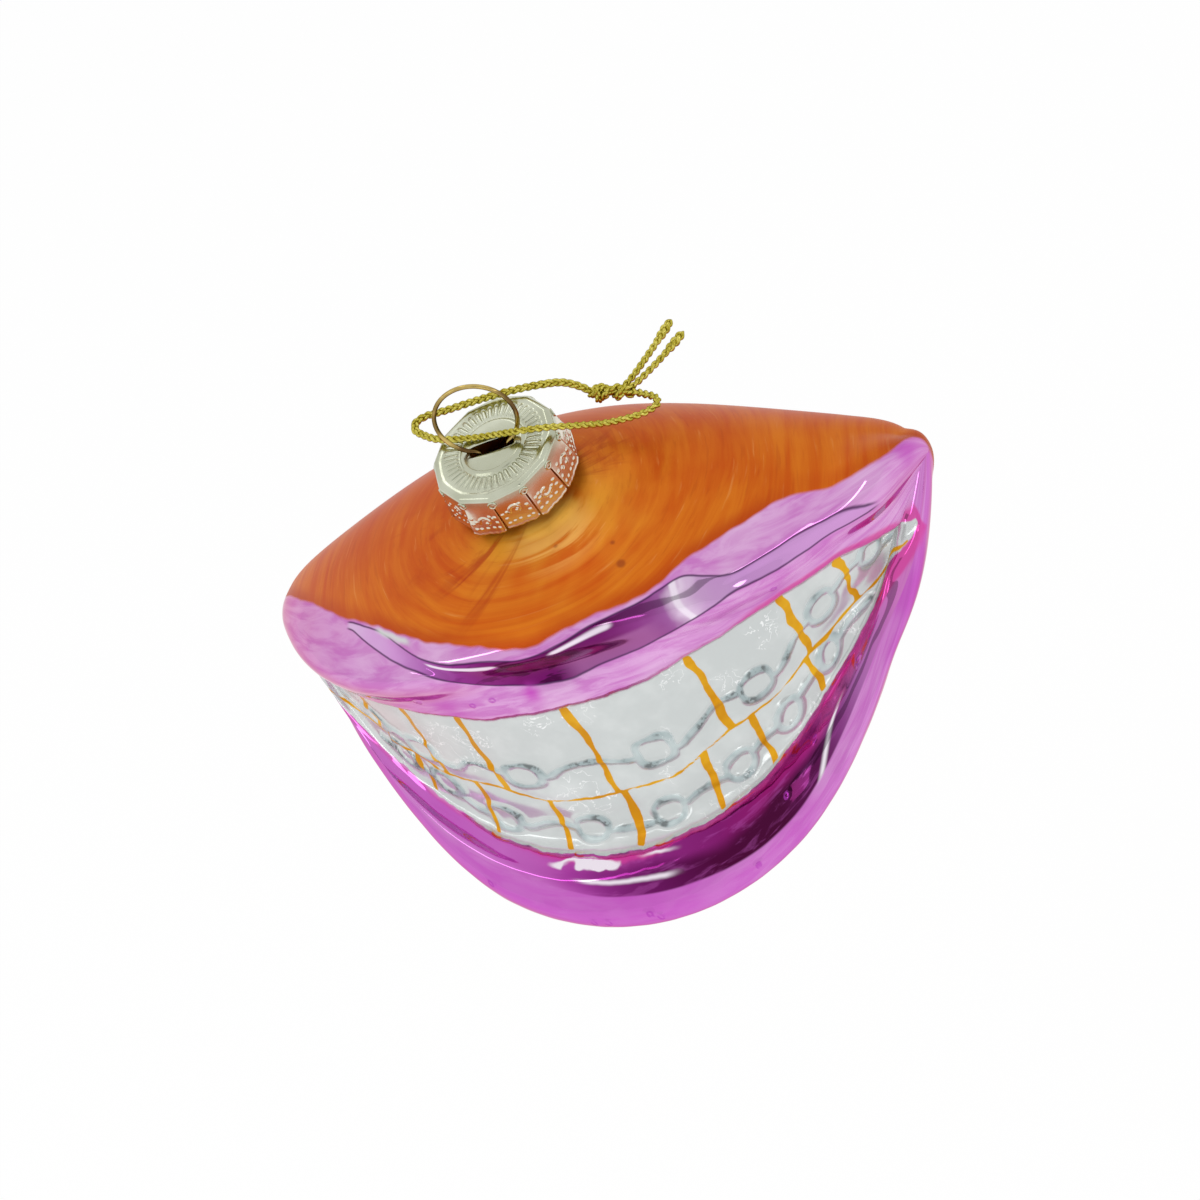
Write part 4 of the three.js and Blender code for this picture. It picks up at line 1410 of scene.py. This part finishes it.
def neck_glass():
    material, start = new_finish("neck lacquer")
    patch = noise(start, own_coordinates(start), 160.0, 3.0).between(0.35, 0.7)
    colour = patch.blend(shade("#b9520f"), shade("#d28a24"))
    close_finish(start, color=colour, rough=0.3 + patch * 0.1, metal=0.4)
    return material


wear(neck_glass(), neck)

# %% [markdown]
# The cap is polished tinplate with a warm tone. Its skirt is painted paler and warmer than the top,
# a painted reflection of the orange glass below it. Plain metal would do, but a perfect metal looks
# like plastic foil, so its roughness is a little uneven and a faint bump breaks up what it mirrors.

# %% Pressed tin


def pressed_tin():
    material, start = new_finish("pressed tin")
    where = own_coordinates(start)
    fine = noise(start, where, 900.0, 4.0, 0.6)
    cloud = noise(start, where, 120.0, 2.0)
    height = start.node("ShaderNodeSeparateXYZ", {}, {0: where}, 2)
    shoulder, tabs = (float(placed([0, 0, CAP_TOP - below])[2]) for below in (0.9, 2.5))
    lowered = height.between(shoulder, tabs)
    colour = cloud.between(0.35, 0.7).blend(shade("#bcbfa8"), shade("#d0d3bf"))
    # Painted reflection: the skirt paler and warmer, standing in for the orange glass that it mirrors.
    colour = (lowered * 0.8).blend(colour, shade("#e8dcca"))
    bump = start.node("ShaderNodeBump", {}, {"Strength": 0.08, "Distance": 0.05 * MM, "Height": fine})
    close_finish(start, color=colour, rough=0.15 + cloud * 0.12 - lowered * 0.06, metal=1.0, normal=bump)
    return material


wear(pressed_tin(), cap, rims)

# %% [markdown]
# The eye is drawn wire, gold brown and brassy in patches that change at random. The cord is
# metallic thread, whose fibres are far finer than a strand. They could be hairs, but a small bump
# from fine noise catches the light in the same way. Both have a dark tint at the edge, so that the
# white room doesn't bleach their outline.

# %% Wire and thread


def drawn_wire():
    material, start = new_finish("drawn wire")
    brown_patches = noise(start, own_coordinates(start), 150.0, 3.0).between(0.4, 0.62)
    colour = brown_patches.blend(shade("#d3b970"), shade("#60472a"))
    close_finish(start, color=colour, rough=0.06 + brown_patches * 0.12, metal=1.0, edge=(0.3, 0.24, 0.16, 1))
    return material


def gold_thread():
    material, start = new_finish("gold thread")
    fibre = noise(start, own_coordinates(start), 1500.0, 3.0, 0.6)
    colour = fibre.between(0.35, 0.68).blend(shade("#b0a338"), shade("#dbcf68"))
    bump = start.node("ShaderNodeBump", {}, {"Strength": 0.15, "Distance": 0.04 * MM, "Height": fibre})
    rough = 0.16 + fibre * 0.1
    close_finish(start, color=colour, rough=rough, metal=0.95, normal=bump, edge=(0.3, 0.26, 0.08, 1))
    return material


wear(drawn_wire(), wire)
wear(gold_thread(), loop, knot, *tails)

# %% [markdown]
# A mirror shows its surroundings, so the studio is part of its look. The ornament lies in a white
# tent. The floor lies well below it and keeps a trace of its shadow. A shadow alone could be
# caught on an invisible plane, but the glass would then mirror nothing under it.

# %% Floor
FLOOR_DROP = 0.16
FLOOR_SIZE = 4.0


def stage_plane(name, wide, tall, location, normal):
    """A flat card of the studio, turned to face along a direction."""
    mesh = bpy.data.meshes.new(name)
    x, y = wide / 2, tall / 2
    mesh.from_pydata([(-x, -y, 0), (x, -y, 0), (x, y, 0), (-x, y, 0)], [], [(0, 1, 2, 3)])
    plane = bpy.data.objects.new(name, mesh)
    plane.location = location
    plane.rotation_mode = "QUATERNION"
    plane.rotation_quaternion = Vector((0, 0, 1)).rotation_difference(Vector(normal))
    bpy.context.collection.objects.link(plane)
    return plane


def white_floor():
    """Pale card that the camera and the reflections see as white, with a trace of shadow left."""
    material, start = new_finish("white floor")
    path = start.node("ShaderNodeLightPath", {}, {}, "Is Camera Ray")
    glossy = start.node("ShaderNodeLightPath", {}, {}, "Is Glossy Ray")
    plain = start.node("ShaderNodeBsdfDiffuse", {}, {"Color": (0.9, 0.9, 0.9, 1)})
    glow = start.node("ShaderNodeEmission", {}, {"Color": (1, 1, 1, 1), "Strength": 1.0})
    mixed = start.node("ShaderNodeMixShader", {}, {0: path * 0.92 + glossy * 0.7, 1: plain, 2: glow})
    start.node("ShaderNodeOutputMaterial", {}, {0: mixed})
    return material


floor_height = float(cad_box[0][2]) - FLOOR_DROP
floor = stage_plane("floor", FLOOR_SIZE, FLOOR_SIZE, (0, 0, floor_height), (0, 0, 1))
wear(white_floor(), floor)
print("floor at", round(floor.location.z, 3))

# %% [markdown]
# The dark bands in the lips and the teeth are the opening of the tent round the camera, and the
# bright lines are its lights. Both are plain cards: one grey card behind the camera, and four
# bright strips round the ornament. They are seen only in reflections, so that they shape the shine
# and add no light to the colours.

# %% Cards in the reflections
OPENING = {"size": 0.36, "distance": 0.75, "brightness": 0.42}
STRIP = {"wide": 0.07, "tall": 0.5, "brightness": 3.0}
STRIP_PLACES = [(-0.5, -0.35, 0.55), (0.25, -0.75, 0.4), (-0.15, 0.5, 0.6), (0.62, -0.1, 0.3)]


def card(name, brightness):
    """A card that shines evenly, seen only where the glass and the metals mirror it."""
    material, start = new_finish(name)
    glow = start.node("ShaderNodeEmission", {}, {"Color": (1, 1, 1, 1), "Strength": brightness})
    start.node("ShaderNodeOutputMaterial", {}, {0: glow})
    return material


def reflected_only(plane):
    """Hides a card from everything but reflections."""
    plane.visible_camera = False
    plane.visible_diffuse = False
    plane.visible_shadow = False


eye_direction = (camera.location - Vector(NECK_FOOT)).normalized()
opening_place = Vector(NECK_FOOT) + eye_direction * OPENING["distance"]
opening = stage_plane("tent_opening", OPENING["size"], OPENING["size"], opening_place, -eye_direction)
wear(card("grey card", OPENING["brightness"]), opening)
reflected_only(opening)
strips = []
for i, place in enumerate(STRIP_PLACES):
    strips.append(stage_plane("strip_" + str(i), STRIP["wide"], STRIP["tall"], place, -Vector(place)))
    reflected_only(strips[-1])
wear(card("bright card", STRIP["brightness"]), *strips)

# %% [markdown]
# Two soft lamps and the white world light the ornament. The lamps are hidden from reflections,
# because the strips already stand for them there. The Standard view shows a colour as it was
# written, without the film look that would pale the lacquers.

# %% Lamps and world
LAMPS = {"key": ((-0.35, -0.25, 0.6), 0.35, 1.6), "fill": ((0.5, -0.5, 0.25), 0.5, 0.8)}
LAMP_TARGET = (0, 0, -0.03)


def add_lamp(name, location, size, power):
    """A square lamp that shines on the ornament from a place."""
    lamp = bpy.data.objects.new(name, bpy.data.lights.new(name, "AREA"))
    lamp.data.size = size
    lamp.data.energy = power
    lamp.location = location
    toward = Vector(LAMP_TARGET) - Vector(location)
    lamp.rotation_mode = "QUATERNION"
    lamp.rotation_quaternion = toward.to_track_quat("-Z", "Y")
    lamp.visible_glossy = False
    bpy.context.collection.objects.link(lamp)
    print(name, "lamp", round(toward.length, 2), "m away")


def set_world():
    """A white world, a little dimmer as light than as the camera sees it."""
    world = bpy.data.worlds.new("white tent")
    bpy.context.scene.world = world
    world.use_nodes = True
    world.node_tree.nodes.clear()
    start = Signal(world.node_tree)
    seen = start.node("ShaderNodeLightPath", {}, {}, "Is Camera Ray")
    glow = start.node("ShaderNodeBackground", {}, {"Color": 0.88 + seen * 0.12, "Strength": 1.0})
    start.node("ShaderNodeOutputWorld", {}, {0: glow})


for name, (location, size, power) in LAMPS.items():
    add_lamp(name, location, size, power)
set_world()
bpy.context.scene.view_settings.view_transform = "Standard"
